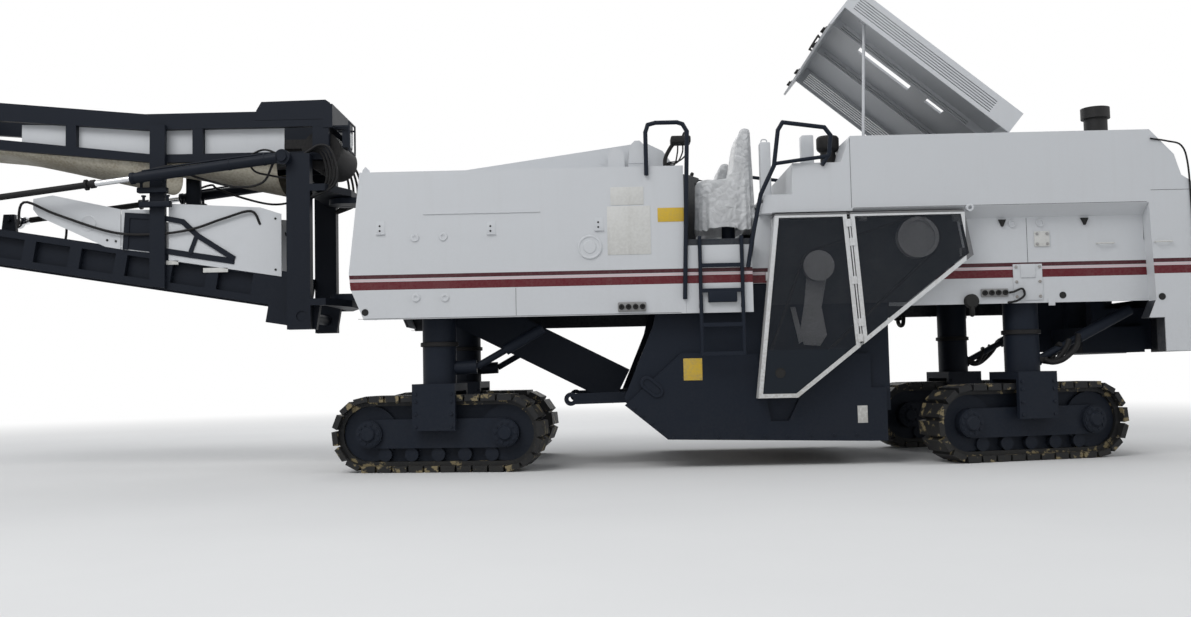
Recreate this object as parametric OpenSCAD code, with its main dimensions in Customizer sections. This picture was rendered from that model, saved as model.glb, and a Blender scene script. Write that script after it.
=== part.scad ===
// Cold planer (cold milling machine) on four tracks, stored with its loading
// conveyor folded and its engine hood open.
// +X is the direction of travel, +Y the machine's left and +Z up.
// Lengths along X are measured from the drum axis; drum_x moves it so that the
// origin lies on the ground under the middle of the machine.

/* [Body] */
// Width over the side skirts
body_w = 2420; // [2300:10:2500]
// Thickness of the body plates
plate = 20; // [12:1:30]
// Lower edge of the side skirts
skirt_z = 1210; // [1190:5:1240]
// Top edge of the front body
front_top_z = 2375; // [2300:5:2450]
// Top edge of the engine housing
rear_top_z = 2580; // [2540:5:2600]
// Top of the operator's floor
floor_z = 1790; // [1760:5:1830]
// Front edge of the front body
front_x = 3361; // [3330:1:3375]
// Rear end of the engine housing
rear_x = -3360; // [-3420:10:-3300]

/* [Legs and tracks] */
// Front leg axis
front_leg_x = 2700; // [2650:10:2750]
// Rear leg axis
rear_leg_x = -1990; // [-2040:10:-1950]
// Distance of each leg axis from the middle
leg_y = 900; // [890:5:910]
// Diameter of the lifting column
column_d = 270; // [220:5:290]
// Radial clearance of columns and pins
slip = 0.5; // [0.3:0.1:0.8]
// Overall length of a track
track_len = 1730; // [1650:10:1740]
// Overall height of a track
track_h = 610; // [560:5:620]
// Width of the track shoes
track_w = 300; // [240:10:310]
// Number of shoes in each track
shoe_count = 30; // [24:1:34]
// Steering angle of the front tracks as parked
front_steer = -8; // [-15:1:15]
// Steering angle of the rear tracks as parked
rear_steer = 15; // [-15:1:18]

/* [Milling drum] */
// Height of the drum axis
drum_z = 725; // [700:5:750]
// Diameter over the cutting tools
drum_d = 1020; // [980:10:1040]
// Milling width
drum_w = 2000; // [1900:10:2010]
// Thickness of the drum housing walls
housing_wall = 45; // [30:5:48]

/* [Belt drive] */
// Outer face of the belt guard
guard_y = 1250; // [1230:5:1260]
// Depth of the belt guard
guard_depth = 130; // [110:5:132]
// Diameter of the engine pulley
engine_pulley_d = 320; // [280:5:340]
// Diameter of the drum pulley
drum_pulley_d = 230; // [200:5:235]
// Width of the pulleys
pulley_w = 84; // [60:2:88]

/* [Hood] */
// Length of the engine hood
hood_len = 1655; // [1600:5:1680]
// Width of the engine hood
hood_w = 2300; // [2200:10:2340]
// Height of the hood's side walls
hood_h = 190; // [150:5:220]
// Angle of the hood as parked
hood_open = 39.4; // [35:0.2:42]

/* [Conveyor] */
// Slewing axis of the discharge conveyor
slew_x = 3650; // [3640:5:3680]
// Outer width of both discharge conveyor booms
boom_w = 800; // [700:10:800]
// Height of the boom side frames
boom_h = 300; // [260:5:320]
// Slope of the lower boom as parked
boom_slope = 9.65; // [8:0.05:11]
// Fold hinge, distance ahead of the drum axis
fold_x = 7620; // [7560:10:7680]
// Fold hinge, height
fold_z = 2620; // [2600:5:2650]

/* [Hidden] */

ink = "#1c222b";
white = "#e9e9e6";
steel = "#8b8f94";
chrome = "#c9ccd0";

half_w = body_w / 2;
fold_lug_r = 100;
front_end = fold_x + fold_lug_r;
drum_x = -(front_end + rear_x) / 2;

// Legs
guide_wall = 30;
guide_z0 = 1420;
guide_z1 = 2210;
column_z0 = 700;
column_z1 = 1620;
kingpin_d = 120;
kingpin_h = 150;
fork_len = 350;
fork_plate = 34;
fork_gap = 10;
strut_d = 90;
strut_rod_d = 56;

// Tracks
track_r = track_h / 2;
arc_x = (track_len - track_h) / 2;
shoe_h = 42;
chain_t = 46;
chain_r = track_r - shoe_h + 6;
wheel_r = chain_r - chain_t - slip;
pitch = (4 * arc_x + 2 * PI * chain_r) / shoe_count;
shoe_gap = 13;
shoe_l = pitch - shoe_gap;
arc_tip_r = sqrt(track_r * track_r - shoe_l * shoe_l / 4);

// Towing plate
tow_z = 930;
tow_t = 40;
tow_bore_d = 50;

// Beams
beam_y0 = 600;
beam_y1 = leg_y - column_d / 2 - guide_wall + 4;
shelf_y = 1090;
beam_z0 = 1440;
beam_h = 250;

// Handrails
rail_d = 34;

// Drum
housing_y = drum_w / 2 + 30;
side_plate_t = 32;
side_plate_y = housing_y + housing_wall + slip;
ladder_gap = 10;
ladder_y = max(half_w, side_plate_y + side_plate_t + ladder_gap);
gradation_pin = [1000, 560];
gradation_pin_d = 40;
drum_shaft_d = 100;
pulley_shaft_d = 80;
guard_y0 = guard_y - guard_depth;
pulley_y = guard_y0 + 16;
guard_hinge = [[-638, 850], [-558, 1970]];
hinge_gap = 14;
guard_rim = 14;
guard_face = 8;
door_t = 27;
guard_border = 20;
mesh_t = 3;
knuckle_d = 26;
knuckle_h = 60;
hinge_pin_d = 12;
hub_d = 120;
engine_pulley_c = [-1107, 1768];
idler_c = [-323, 1561];
idler_d = 240;
belt_t = 18;

// Hood
hinge_x = -1872;
hood_pin_d = 12;
hood_knuckle_d = 22;
hinge_z = rear_top_z + 12;
prop_at = [1450, 60];
prop_y = 1000;
prop_d = 24;
prop_pin_d = 30;

// Conveyor
pitch_pin = [3920, 1290];
boom_y = boom_w / 2;
post_t = 100;
post_x = 3945;
post_w = 200;
lift_y = boom_y + 160;
barrel_pin = [4060, 2640];
rod_pin = [6900, 2300];
rod_pin_d = 46;
rod_eye_play = 26;
head_drum = [3790, 2740];
head_shaft_d = 60;

// Two rows for each leg: name, x, y sign, steering angle, strut foot x and z, strut head x and z
LEGS = [
    ["fl", front_leg_x, 1, front_steer, -300, 830, -840, 1130],
    ["fr", front_leg_x, -1, front_steer, -300, 830, -840, 1130],
    ["rl", rear_leg_x, 1, rear_steer, -140, 800, -880, 1180],
    ["rr", rear_leg_x, -1, rear_steer, -140, 800, -880, 1180]
];

// A plate cut to a profile in the XZ plane, from y to y + t
module xz(y, t) {
    translate([0, y + t, 0]) rotate([90, 0, 0]) linear_extrude(t) children();
}

// The same plate on both sides of the middle, its inner face at y
module xz_pair(y, t) {
    xz(y, t) children();
    xz(-y - t, t) children();
}

module box(x0, x1, y0, y1, z0, z1) {
    translate([x0, y0, z0]) cube([x1 - x0, y1 - y0, z1 - z0]);
}

module box_pair(x0, x1, y0, y1, z0, z1) {
    box(x0, x1, y0, y1, z0, z1);
    box(x0, x1, -y1, -y0, z0, z1);
}

// A round bar between two points
module rod(a, b, d) {
    v = b - a;
    len = norm(v);
    translate(a) rotate([0, acos(v[2] / len), atan2(v[1], v[0])]) cylinder(d = d, h = len, $fn = 32);
}

// A flat bar in the XZ plane between two points, h deep and w wide along y
module bar(a, b, h, y, w) {
    v = b - a;
    translate([a[0], y, a[1]]) rotate([0, -atan2(v[1], v[0]), 0])
        translate([0, 0, -h / 2]) cube([norm(v), w, h]);
}

module disc(x, z, d, y0, y1) {
    translate([x, y1, z]) rotate([90, 0, 0]) cylinder(d = d, h = y1 - y0, $fn = 48);
}

module at_drum() {
    translate([drum_x, 0, 0]) children();
}

module main_frame() {
    color(ink) at_drum() difference() {
        union() {
            box_pair(rear_x + 420, front_x - 60, beam_y0, beam_y1, beam_z0, beam_z0 + beam_h);
            for (x = [2250, 560, -760, -2780]) {
                box(x, x + 120, -beam_y1, beam_y1, beam_z0 + 180, beam_z0 + beam_h);
            }
            box(-880, -800, -beam_y1, beam_y1, beam_z0, beam_z0 + beam_h);
            slew_brackets();
            tail_beam();
        }
        for (leg = LEGS) {
            translate([leg[1], leg[2] * leg_y, guide_z0 - 1])
                cylinder(d = column_d + 2 * guide_wall + 2 * slip, h = guide_z1 - guide_z0 + 2, $fn = 64);
        }
        for (z = [1300, 2296]) {
            translate([slew_x, 0, z]) cylinder(d = 120 + 2 * slip, h = 200, $fn = 48);
        }
    }
}

// Upright tubes that guide the lifting columns
module leg_guides() {
    color(ink) at_drum() for (leg = LEGS) {
        translate([leg[1], leg[2] * leg_y, guide_z0]) difference() {
            cylinder(d = column_d + 2 * guide_wall, h = guide_z1 - guide_z0, $fn = 64);
            translate([0, 0, -1]) cylinder(d = column_d + 2 * slip, h = guide_z1 - guide_z0 + 2, $fn = 64);
        }
    }
}

// Brackets on the front end that hold the slewing pins
module slew_brackets() {
    for (z = [[1440, 1500], [2300, 2350]]) {
        box(front_x - 70, slew_x, -150, 150, z[0], z[1]);
        translate([slew_x, 0, z[0]]) cylinder(d = 300, h = z[1] - z[0], $fn = 48);
    }
    box(front_x - 90, front_x - 40, -beam_y1, beam_y1, 1400, 1500);
    box(front_x - 90, front_x - 40, -beam_y1, beam_y1, 2230, 2350);
    box_pair(front_x - 90, front_x - 40, beam_y0, beam_y1, 1499, 2231);
}

// Beam under the tail, with the towing plate
module tail_beam() {
    box(rear_x + 110, rear_x + 640, -330, 330, 840, 1060);
    box_pair(rear_x + 430, rear_x + 540, 200, 300, 1050, beam_z0 + 190);
    box(rear_x + 425, rear_x + 545, -beam_y1 + 10, beam_y1 - 10, beam_z0 + 180, beam_z0 + beam_h - 5);
    difference() {
        box(rear_x, rear_x + 130, -70, 70, tow_z, tow_z + tow_t);
        translate([rear_x + 40, 0, tow_z - 1]) cylinder(d = tow_bore_d, h = tow_t + 2, $fn = 48);
    }
}

module front_profile() {
    polygon([
        [720, skirt_z], [front_x - 114, skirt_z], [front_x - 12, skirt_z + 244],
        [front_x, skirt_z + 370], [front_x - 91, front_top_z], [720, front_top_z]
    ]);
}

module hump_profile() {
    polygon([
        [720, front_top_z - 30], [2760, front_top_z - 30], [2760, front_top_z + 18],
        [1080, front_top_z + 243], [980, front_top_z + 240], [860, front_top_z + 180],
        [760, front_top_z + 40], [720, front_top_z]
    ]);
}

module front_body() {
    color(white) at_drum() difference() {
        union() {
            xz(-half_w, body_w) front_profile();
            xz(-900, 1800) hump_profile();
        }
        difference() {
            xz(plate - half_w, body_w - 2 * plate) offset(delta = -plate) front_profile();
            box_pair(900, 2380, beam_y1 + 20, half_w, beam_z0, front_top_z);
        }
        box_pair(1780, 2450, leg_y - 62, leg_y + 62, beam_z0 - 1, 1730);
        box(700, front_x, plate - half_w, half_w - plate, skirt_z - 1, skirt_z + plate + 1);
        box(front_x - 200, front_x + 1, -beam_y1 - 6, beam_y1 + 6, skirt_z - 1, front_top_z - plate);
        box(700, 760, -beam_y1 - 6, beam_y1 + 6, skirt_z - 1, beam_z0 + beam_h + 6);
        box(701, 761, -1130, 1130, skirt_z - 2, beam_z0 + 1);
    }
}

module platform() {
    color(ink) at_drum() union() {
        box(196, 719, -half_w, half_w, floor_z - 50, floor_z);
        box_pair(196, 719, beam_y0, beam_y1, beam_z0 + beam_h, floor_z - 50);
    }
    color(white) at_drum() box_pair(196, 719, half_w - plate, half_w, skirt_z, floor_z - 50);
}

module ladder() {
    color(ink) at_drum() union() {
        for (x = [606, 279]) {
            rod([x, ladder_y + 22, 880], [x, ladder_y + 22, floor_z + 20], 30);
            box(x - 15, x + 15, half_w, ladder_y + 22, floor_z - 50, floor_z - 20);
            box(x - 15, x + 15, half_w, ladder_y + 22, skirt_z + 40, skirt_z + 70);
        }
        for (z = [890, 1115, 1383, 1580]) {
            box(279, 606, ladder_y + 10, ladder_y + 34, z - 15, z + 15);
        }
    }
}

module handrails() {
    y = half_w + rail_d / 2 + 1;
    color(ink) at_drum() for (side = [1, -1]) {
        union() {
            tube(side * y, [[730, 1320], [683, 2640], [716, 2700], [760, 2715], [930, 2715], [990, 2700], [1010, 2640], [1010, 2300]]);
            for (z = [1420, 2200]) rail_stub(side, 728 - (z - 1320) * 47 / 1320, z);
            rail_stub(side, 1010, 2320);
        }
        union() {
            tube(side * y, [[232, 1560], [190, 1800], [116, 2132], [7, 2354], [-32, 2635], [-70, 2696], [-397, 2649],
                [-443, 2586], [-428, 2439], [-370, 2350]]);
            rail_stub(side, 221, 1620);
            rail_stub(side, -376, 2360);
        }
    }
}

// A stub that holds a handrail on the body's side
module rail_stub(side, x, z) {
    translate([x, side * (half_w + rail_d / 2 + 1), z]) rotate([side * 90, 0, 0])
        cylinder(d = rail_d - 8, h = rail_d / 2 + 1, $fn = 24);
}

// A round tube in an XZ plane through the points
module tube(y, pts) {
    for (i = [0:len(pts) - 2]) rod([pts[i][0], y, pts[i][1]], [pts[i + 1][0], y, pts[i + 1][1]], rail_d);
    for (i = [1:len(pts) - 2]) translate([pts[i][0], y, pts[i][1]]) sphere(d = rail_d + 1, $fn = 32);
}

module console() {
    color(ink) at_drum() union() {
        box(560, 719, -350, 350, floor_z, floor_z + 640);
        translate([700, 0, floor_z + 640]) rotate([0, -20, 0]) box(-240, 0, -350, 350, 0, 40);
    }
}

module seats() {
    color("#dcdcd8") at_drum() for (y = [780, -780]) {
        box(250, 380, y - 60, y + 60, floor_z, floor_z + 380);
        box(180, 560, y - 220, y + 220, floor_z + 380, floor_z + 480);
        box(150, 250, y - 200, y + 200, floor_z + 480, floor_z + 900);
    }
}

module engine_housing() {
    foot = prop_foot();
    color(white) at_drum() difference() {
        union() {
            difference() {
                housing_shell();
                housing_hollow();
            }
            box(foot[0] + prop_d / 2 + slip, -615, prop_y - 40, prop_y + 40, foot[1] + 10, foot[1] + 70);
            for (y = [-862, 802]) {
                disc(hinge_x, hinge_z, hood_knuckle_d, y, y + 60);
                box(hinge_x - 9, hinge_x + 9, y, y + 60, rear_top_z - 5, hinge_z);
            }
            disc(hinge_x, hinge_z, hood_pin_d, -810, -742);
            disc(hinge_x, hinge_z, hood_pin_d, 742, 810);
        }
        xz(shelf_y, guard_y - shelf_y + 12) offset(delta = 16) polygon(guard_points());
        disc(engine_pulley_c[0], engine_pulley_c[1], 160, shelf_y - plate - 1, shelf_y + 1);
        disc(idler_c[0], idler_c[1], 60 + 2 * slip, shelf_y - plate - 1, shelf_y + 1);
        for (z = [0:11]) {
            box(rear_x - 1, rear_x + plate + 1, -620, 620, 1300 + 52 * z, 1326 + 52 * z);
        }
    }
}

module housing_shell() {
    rotate([90, 0, 90]) translate([0, 0, rear_x + 440]) linear_extrude(-600 - rear_x - 440)
        for (m = [0, 1]) mirror([m, 0]) polygon([
            [0, 1240], [shelf_y, 1240], [shelf_y, 1920], [half_w, 2005], [half_w, rear_top_z], [0, rear_top_z]
        ]);
    xz(-half_w, body_w) polygon([
        [-3000, 1100], [-3000, 837], [rear_x, 837], [rear_x, 2100], [rear_x + 180, 2215],
        [rear_x + 230, 2380], [rear_x + 415, rear_top_z], [-2900, rear_top_z], [-2940, 1240], [-2880, 1100]
    ]);
    xz(-half_w, body_w) polygon([
        [-601, 1980], [-601, rear_top_z], [-591, 2573], [-525, 2373], [-140, 2373],
        [-133, 2128], [85, 2128], [122, 1980]
    ]);
    xz(-shelf_y, 2 * shelf_y) polygon([[-601, 1240], [-601, 1981], [122, 1981], [186, 1610], [186, 1440], [-300, 1440]]);
}

module housing_hollow() {
    box(rear_x + 460, -620, -shelf_y + plate, shelf_y - plate, 1200, rear_top_z - plate);
    box(-1860, -621, -1130, 1130, rear_top_z - plate - 1, rear_top_z + 1);
    box(rear_x + plate, -3020, -half_w + plate, half_w - plate, 800, 1980);
    box(-3040, -2800, -shelf_y + plate, shelf_y - plate, 800, 1980);
    box(-640, 166, -shelf_y + plate, shelf_y - plate, 1400, 1960);
    box(-602, 100, -half_w + plate, half_w - plate, 2000, 2100);
    box(-602, -160, -half_w + plate, half_w - plate, 2000, 2350);
    box(160, 200, -beam_y1 - 6, beam_y1 + 6, 1400, beam_z0 + beam_h + 6);
    box(-630, -590, -beam_y1 - 7, beam_y1 + 7, 1399, beam_z0 + beam_h + 7);
    box(rear_x - 1, rear_x + plate + 1, -250, 250, 836, 1080);
    box(-890, 260, -shelf_y - 10, shelf_y + 10, 1100, beam_z0 + 0.5);
}

module engine() {
    crank = engine_pulley_c;
    color("#4a4f55") at_drum() union() {
        box(-1400, -900, -580, 580, 1480, 1712);
        box(-1380, -920, -690, 700, 1700, 2080);
        for (y = [-640, 560]) for (x = [-1370, -1010]) {
            box(x, x + 70, y, y + 75, beam_z0 + beam_h + slip, 1705);
        }
        for (k = [0:5]) {
            box(-1300, -1060, -640 + 215 * k, -445 + 215 * k, 2079, 2190);
            disc(-955, 2020, 70, -600 + 215 * k, -480 + 215 * k);
        }
        box(-1010, -960, -640, 620, 2075, 2150);
        disc(-985, 2185, 110, -620, 600);
        disc(-1350, 2150, 90, -600, 560);
        box(-1480, -1370, -500, 300, 1720, 1980);
        disc(-1440, 2120, 240, -560, -120);
        disc(-1440, 2120, 150, -121, 160);
        disc(crank[0], crank[1], 140, -745, -689);
        disc(crank[0], crank[1], 420, -800, -742);
        disc(crank[0], crank[1], 140, 699, 745);
        disc(crank[0], crank[1], 300, 742, 800);
        disc(crank[0], crank[1], pulley_shaft_d, 790, pulley_y + 35);
        rod([-985, 400, 2185], [-985, 400, 2400], 90);
    }
}

module radiator() {
    color("#55595e") at_drum() {
        box(-2720, -2560, -560, 560, beam_z0 + beam_h, rear_top_z - 140);
        for (k = [0:10]) box(-2560.5, -2548, -540 + 104 * k, -500 + 104 * k, beam_z0 + beam_h + 40, rear_top_z - 180);
    }
}

module exhaust_stack() {
    color("#22262b") at_drum() {
        translate([-2800, 600, rear_top_z]) cylinder(d = 186, h = 220, $fn = 48);
        translate([-2800, 600, rear_top_z + 220]) cylinder(d = 230, h = 90, $fn = 48);
    }
}

module housing_profile() {
    polygon([
        [760, 430], [1180, 470], [1216, 560], [980, 1120], [900, 1439],
        [-880, 1439], [-880, 420], [-560, 420], [-560, 500], [560, 500]
    ]);
}

module drum_housing() {
    color(ink) at_drum() difference() {
        union() {
            xz_pair(housing_y, housing_wall) housing_profile();
            xz(housing_y + housing_wall - 1, 41) translate([0, drum_z]) circle(d = hub_d, $fn = 64);
            difference() {
                disc(0, drum_z, drum_d + 140, -housing_y - 1, housing_y + 1);
                disc(0, drum_z, drum_d + 90, -housing_y - 2, housing_y + 2);
                box(-800, 800, -housing_y - 2, housing_y + 2, 0, drum_z + 40);
            }
            box(-880, 900, -housing_y - 1, housing_y + 1, 1400, 1439);
            box(560, 600, -housing_y - 1, housing_y + 1, 760, 1401);
            box(-640, -600, -housing_y - 1, housing_y + 1, 760, 1401);
        }
        disc(0, drum_z, drum_shaft_d + 2 * slip, -housing_y - 100, housing_y + housing_wall - 2);
        disc(0, drum_z, pulley_shaft_d + 2 * slip, housing_y, housing_y + 200);
        disc(gradation_pin[0], gradation_pin[1], gradation_pin_d + 2 * slip, -housing_y - 100, housing_y + 100);
    }
}

module primary_conveyor() {
    a = [1230, 640];
    b = [3290, 1700];
    color(ink) at_drum() union() {
        difference() {
            bar(a, b, 320, -410, 820);
            translate([0, 0, 40]) bar(a - [200, 103], b + [200, 103], 320, -370, 740);
        }
        box_pair(2760, 2840, 400, beam_y0 - slip, 1470, 1580);
    }
    color("#1d1f22") at_drum() translate([0, 0, -100]) bar(a + [20, 10], b - [20, 10], 70, -360, 720);
}

function guard_points() = [[13, 1970], [-1461, 1972], [-1521, 1617], [-123, 536], [184, 536]];

// The guard's rim and its fixed front half, up to the middle hinge
module belt_guard() {
    color(white) at_drum() union() {
        xz(guard_y0, guard_y - door_t - 5 - guard_y0) rim_of(guard_rim) polygon(guard_points());
        xz(guard_y - door_t - 6, door_t + 6) rim_of(guard_rim) guard_half(-1);
        xz(guard_y - guard_face, guard_face) difference() {
            guard_half(-1);
            guard_window(-1);
        }
        for (at = [[-1440, 1920], [-1490, 1640], [-700, 1940], [0, 1900], [50, 1480]]) {
            box(at[0] - 30, at[0] + 30, shelf_y + slip, guard_y0 + 12, at[1] - 20, at[1] + 46);
        }
        for (h = [110, 560, 1010]) {
            on_guard_hinge(h) cylinder(d = knuckle_d, h = knuckle_h, $fn = 32);
            on_guard_hinge(h) translate([0, -3, 0]) cube([30, 12, knuckle_h]);
        }
        on_guard_hinge(111) cylinder(d = hinge_pin_d, h = 898 + knuckle_h, $fn = 32);
    }
}

// The outer ring of a flat shape
module rim_of(w) {
    difference() {
        children();
        offset(delta = -w) children();
    }
}

// The guard's outline on one side of its hinge: -1 is the fixed front, 1 the door
module guard_half(side) {
    difference() {
        polygon(guard_points());
        hinge_side(side, -hinge_gap);
    }
}

module guard_window(side) {
    offset(delta = -guard_border - 12) guard_half(side);
}

// A sheet behind the window, with rows of slots
module guard_sheet(side) {
    sheet_y = guard_y - guard_face - mesh_t - 0.3;
    xz(sheet_y, mesh_t) difference() {
        offset(delta = -guard_border - slip) guard_half(side);
        intersection() {
            offset(delta = -guard_border - 22) guard_half(side);
            for (z = [930:70:1900]) translate([-2000, z]) square([2300, 40]);
        }
    }
}

module guard_mesh() {
    color(steel) at_drum() guard_sheet(-1);
}

module door_mesh() {
    color(steel) at_drum() guard_sheet(1);
}

// Half of the guard's plane, from the hinge line towards the given side
module hinge_side(side, gap) {
    past = [600 * 80 / 1120, 600];
    a = guard_hinge[0] + [side * gap, 0] - past;
    b = guard_hinge[1] + [side * gap, 0] + past;
    polygon([a, b, b + [side * 2000, 0], a + [side * 2000, 0]]);
}

// Along the guard's hinge, at a height h above its lower end
module on_guard_hinge(h) {
    a = guard_hinge[0];
    v = guard_hinge[1] - a;
    translate([a[0], guard_y, a[1]]) rotate([0, atan2(v[0], v[1]), 0]) translate([0, 0, h]) children();
}

module guard_door() {
    color(white) at_drum() difference() {
        union() {
            xz(guard_y - door_t, door_t) rim_of(guard_border) guard_half(1);
            xz(guard_y - guard_face, guard_face) difference() {
                guard_half(1);
                guard_window(1);
            }
            for (h = [230, 860]) {
                on_guard_hinge(h) cylinder(d = knuckle_d, h = knuckle_h, $fn = 32);
                on_guard_hinge(h) translate([-30, -3, 0]) cube([30, 12, knuckle_h]);
            }
        }
        on_guard_hinge(0) cylinder(d = hinge_pin_d + 2 * slip, h = 1100, $fn = 32);
    }
}

module drive_belt() {
    color("#17191c") at_drum() xz(pulley_y + 6, pulley_w - 12) difference() {
        belt_outline(belt_t);
        belt_outline(slip);
    }
}

module belt_outline(grow) {
    hull() {
        translate(engine_pulley_c) circle(d = engine_pulley_d + 2 * grow, $fn = 48);
        translate(idler_c) circle(d = idler_d + 2 * grow, $fn = 48);
        translate([0, drum_z]) circle(d = drum_pulley_d + 2 * grow, $fn = 48);
    }
}

module engine_pulley() {
    c = engine_pulley_c;
    color(steel) at_drum() difference() {
        disc(c[0], c[1], engine_pulley_d, pulley_y, pulley_y + pulley_w);
        disc(c[0], c[1], pulley_shaft_d + 2 * slip, pulley_y - 20, pulley_y + 40);
        disc(c[0], c[1], engine_pulley_d - 60, pulley_y + pulley_w - 14, pulley_y + pulley_w + 1);
    }
}

module idler_pulley() {
    color(steel) at_drum() union() {
        disc(idler_c[0], idler_c[1], idler_d, pulley_y, pulley_y + pulley_w);
        disc(idler_c[0], idler_c[1], 60, 1040, pulley_y + 1);
    }
}

module drum_pulley() {
    color(steel) at_drum() difference() {
        union() {
            disc(0, drum_z, drum_pulley_d, pulley_y, pulley_y + pulley_w);
            disc(0, drum_z, pulley_shaft_d, housing_y + housing_wall + 2, pulley_y + 1);
        }
        disc(0, drum_z, drum_pulley_d - 50, pulley_y + pulley_w - 14, pulley_y + pulley_w + 1);
    }
}

module milling_drum() {
    barrel_r = drum_d / 2 - 90;
    tools = 72;
    color("#5b4a3c") at_drum() union() {
        disc(0, drum_z, 2 * barrel_r, -drum_w / 2, drum_w / 2);
        disc(0, drum_z, drum_shaft_d, -housing_y - housing_wall + 5, housing_y + housing_wall - 5);
        for (k = [0:tools - 1]) {
            y = -drum_w / 2 + 30 + k * (drum_w - 60) / (tools - 1);
            translate([0, y, drum_z]) rotate([0, k * 50, 0]) translate([0, 0, barrel_r]) {
                translate([-34, -23, -12]) cube([60, 46, 55]);
                translate([8, 0, 30]) rotate([0, 18, 0]) cylinder(d1 = 34, d2 = 14, h = 58, $fn = 12);
            }
        }
    }
}

module side_plate_profile() {
    polygon([[762, 902], [1216, 499], [882, 224], [-723, 182], [-844, 182], [-844, 600], [-723, 600], [-723, 870], [-300, 870]]);
}

module side_plate_left() {
    color(ink) at_drum() difference() {
        xz(side_plate_y, side_plate_t) side_plate_profile();
        xz(side_plate_y - 1, side_plate_t + 2) polygon([[-70, 352], [70, 352], [183, 1001], [-394, 1001]]);
    }
}

module side_plate_right() {
    color(ink) at_drum() xz(-side_plate_y - side_plate_t, side_plate_t) side_plate_profile();
}

module scraper() {
    color(ink) at_drum() box(-790, -750, -housing_y + slip, housing_y - slip, 230, 900);
}

module gradation_arm() {
    pin = gradation_pin;
    color(ink) at_drum() difference() {
        union() {
            for (y = [-800, 742]) {
                bar(pin + [30, 0], [1620, 551], 88, y, 58);
                disc(1649, 550, 110, y - 1, y + 59);
                disc(pin[0], pin[1], 132, y + 1, y + 57);
            }
            box(965, 1035, -760, 760, 522, 598);
            disc(pin[0], pin[1], gradation_pin_d, -housing_y - 30, -795);
            disc(pin[0], pin[1], gradation_pin_d, 795, housing_y + 30);
        }
        disc(1649, 550, 40, -810, 810);
    }
}

module slew_yoke() {
    cheek = boom_y + 17 + post_t;
    neck = slew_x - 80;
    color(ink) at_drum() difference() {
        union() {
            box_pair(post_x - post_w / 2, post_x + post_w / 2, boom_y + 17, cheek, 1180, 2680);
            translate([0, 0, 1381]) linear_extrude(58)
                polygon([[neck, -160], [neck + 145, -cheek], [3740, -cheek], [3740, cheek], [neck + 145, cheek], [neck, 160]]);
            box_pair(neck + 147, post_x - 60, boom_y + 17, cheek, 1381, 1439);
            translate([0, 0, 2357]) linear_extrude(59)
                polygon([[neck, -160], [neck + 145, -cheek], [3915, -cheek], [3915, cheek], [neck + 145, cheek], [neck, 160]]);
            translate([slew_x, 0, 1390]) cylinder(d = 120, h = 108, $fn = 48);
            translate([slew_x, 0, 2302]) cylinder(d = 120, h = 100, $fn = 48);
            disc(barrel_pin[0], barrel_pin[1], 80, boom_y + 30, lift_y + 50);
            disc(barrel_pin[0], barrel_pin[1], 80, -lift_y - 50, -boom_y - 30);
            xz_pair(boom_y + 18, post_t - 10) polygon([[4040, 2590], [4110, 2610], [4110, 2679], [4040, 2679]]);
        }
        disc(pitch_pin[0], pitch_pin[1], 90 + 2 * slip, -1000, 1000);
    }
}

boom_len = (fold_x - pitch_pin[0]) / cos(boom_slope);

// Along the lower boom from its pitch pin
module on_boom() {
    translate([pitch_pin[0], 0, pitch_pin[1]]) rotate([0, -boom_slope, 0]) children();
}

module lower_boom() {
    color(ink) at_drum() difference() {
      union() {
        on_boom() {
            for (y0 = [boom_y - 60, -boom_y]) {
                difference() {
                    translate([-110, y0, -95]) cube([boom_len + 90, 60, boom_h + 155]);
                    translate([330, y0 - 1, -96]) cube([boom_len, 62, 156]);
                    translate([-111, y0 - 1, 130]) cube([280, 62, 400]);
                    for (x = [500:400:boom_len - 400]) {
                        translate([x, y0 - 1, 120]) cube([300, 62, boom_h - 120]);
                    }
                }
            }
            for (x = [400:600:boom_len - 100]) {
                translate([x, -boom_y + 30, 66]) cube([80, boom_w - 60, 50]);
            }
        }
        disc(pitch_pin[0], pitch_pin[1], 90, -boom_y - 7 - post_t, boom_y + 7 + post_t);
        for (y0 = [boom_y - 1, -boom_y - 45]) {
            xz(y0, 46) polygon([
                [fold_x - 420, 1960], [fold_x - 20, 2030], [fold_x - 20, 2330], [fold_x + 70, fold_z - 50],
                [fold_x + 70, fold_z + 50], [fold_x - 70, fold_z + 60], [fold_x - 380, 2240]
            ]);
            disc(fold_x, fold_z, 2 * fold_lug_r, y0, y0 + 46);
            xz(y0, 46) polygon([[5110, 1560], [5240, 1580], [5240, 2970], [5110, 2970]]);
            xz(y0, 46) polygon([[6800, 1900], [7000, 1930], [6950, 2350], [6850, 2350]]);
        }
        disc(rod_pin[0], rod_pin[1], rod_pin_d, boom_y - 30, lift_y + 40);
        disc(rod_pin[0], rod_pin[1], rod_pin_d, -lift_y - 40, -boom_y + 30);
      }
      disc(fold_x, fold_z, 60 + 2 * slip, -boom_y - 46, boom_y + 46);
    }
}

module lower_belt() {
    color("#1d1f22") at_drum() on_boom() translate([200, -boom_y + 70, 116]) cube([3450, boom_w - 140, 90]);
}

module lower_covers() {
    color(white) at_drum() xz_pair(boom_y, 6) polygon([
        [4120, 1640], [5090, 1800], [5090, 2290], [4300, 2240], [4120, 2180]
    ]);
}

module upper_profile() {
    polygon([
        [3700, 2940], [5300, 2940], [7500, 3130], [7600, 3160], [7600, 3290], [7500, 3300],
        [5300, 3077], [3700, 3077]
    ]);
}

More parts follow.
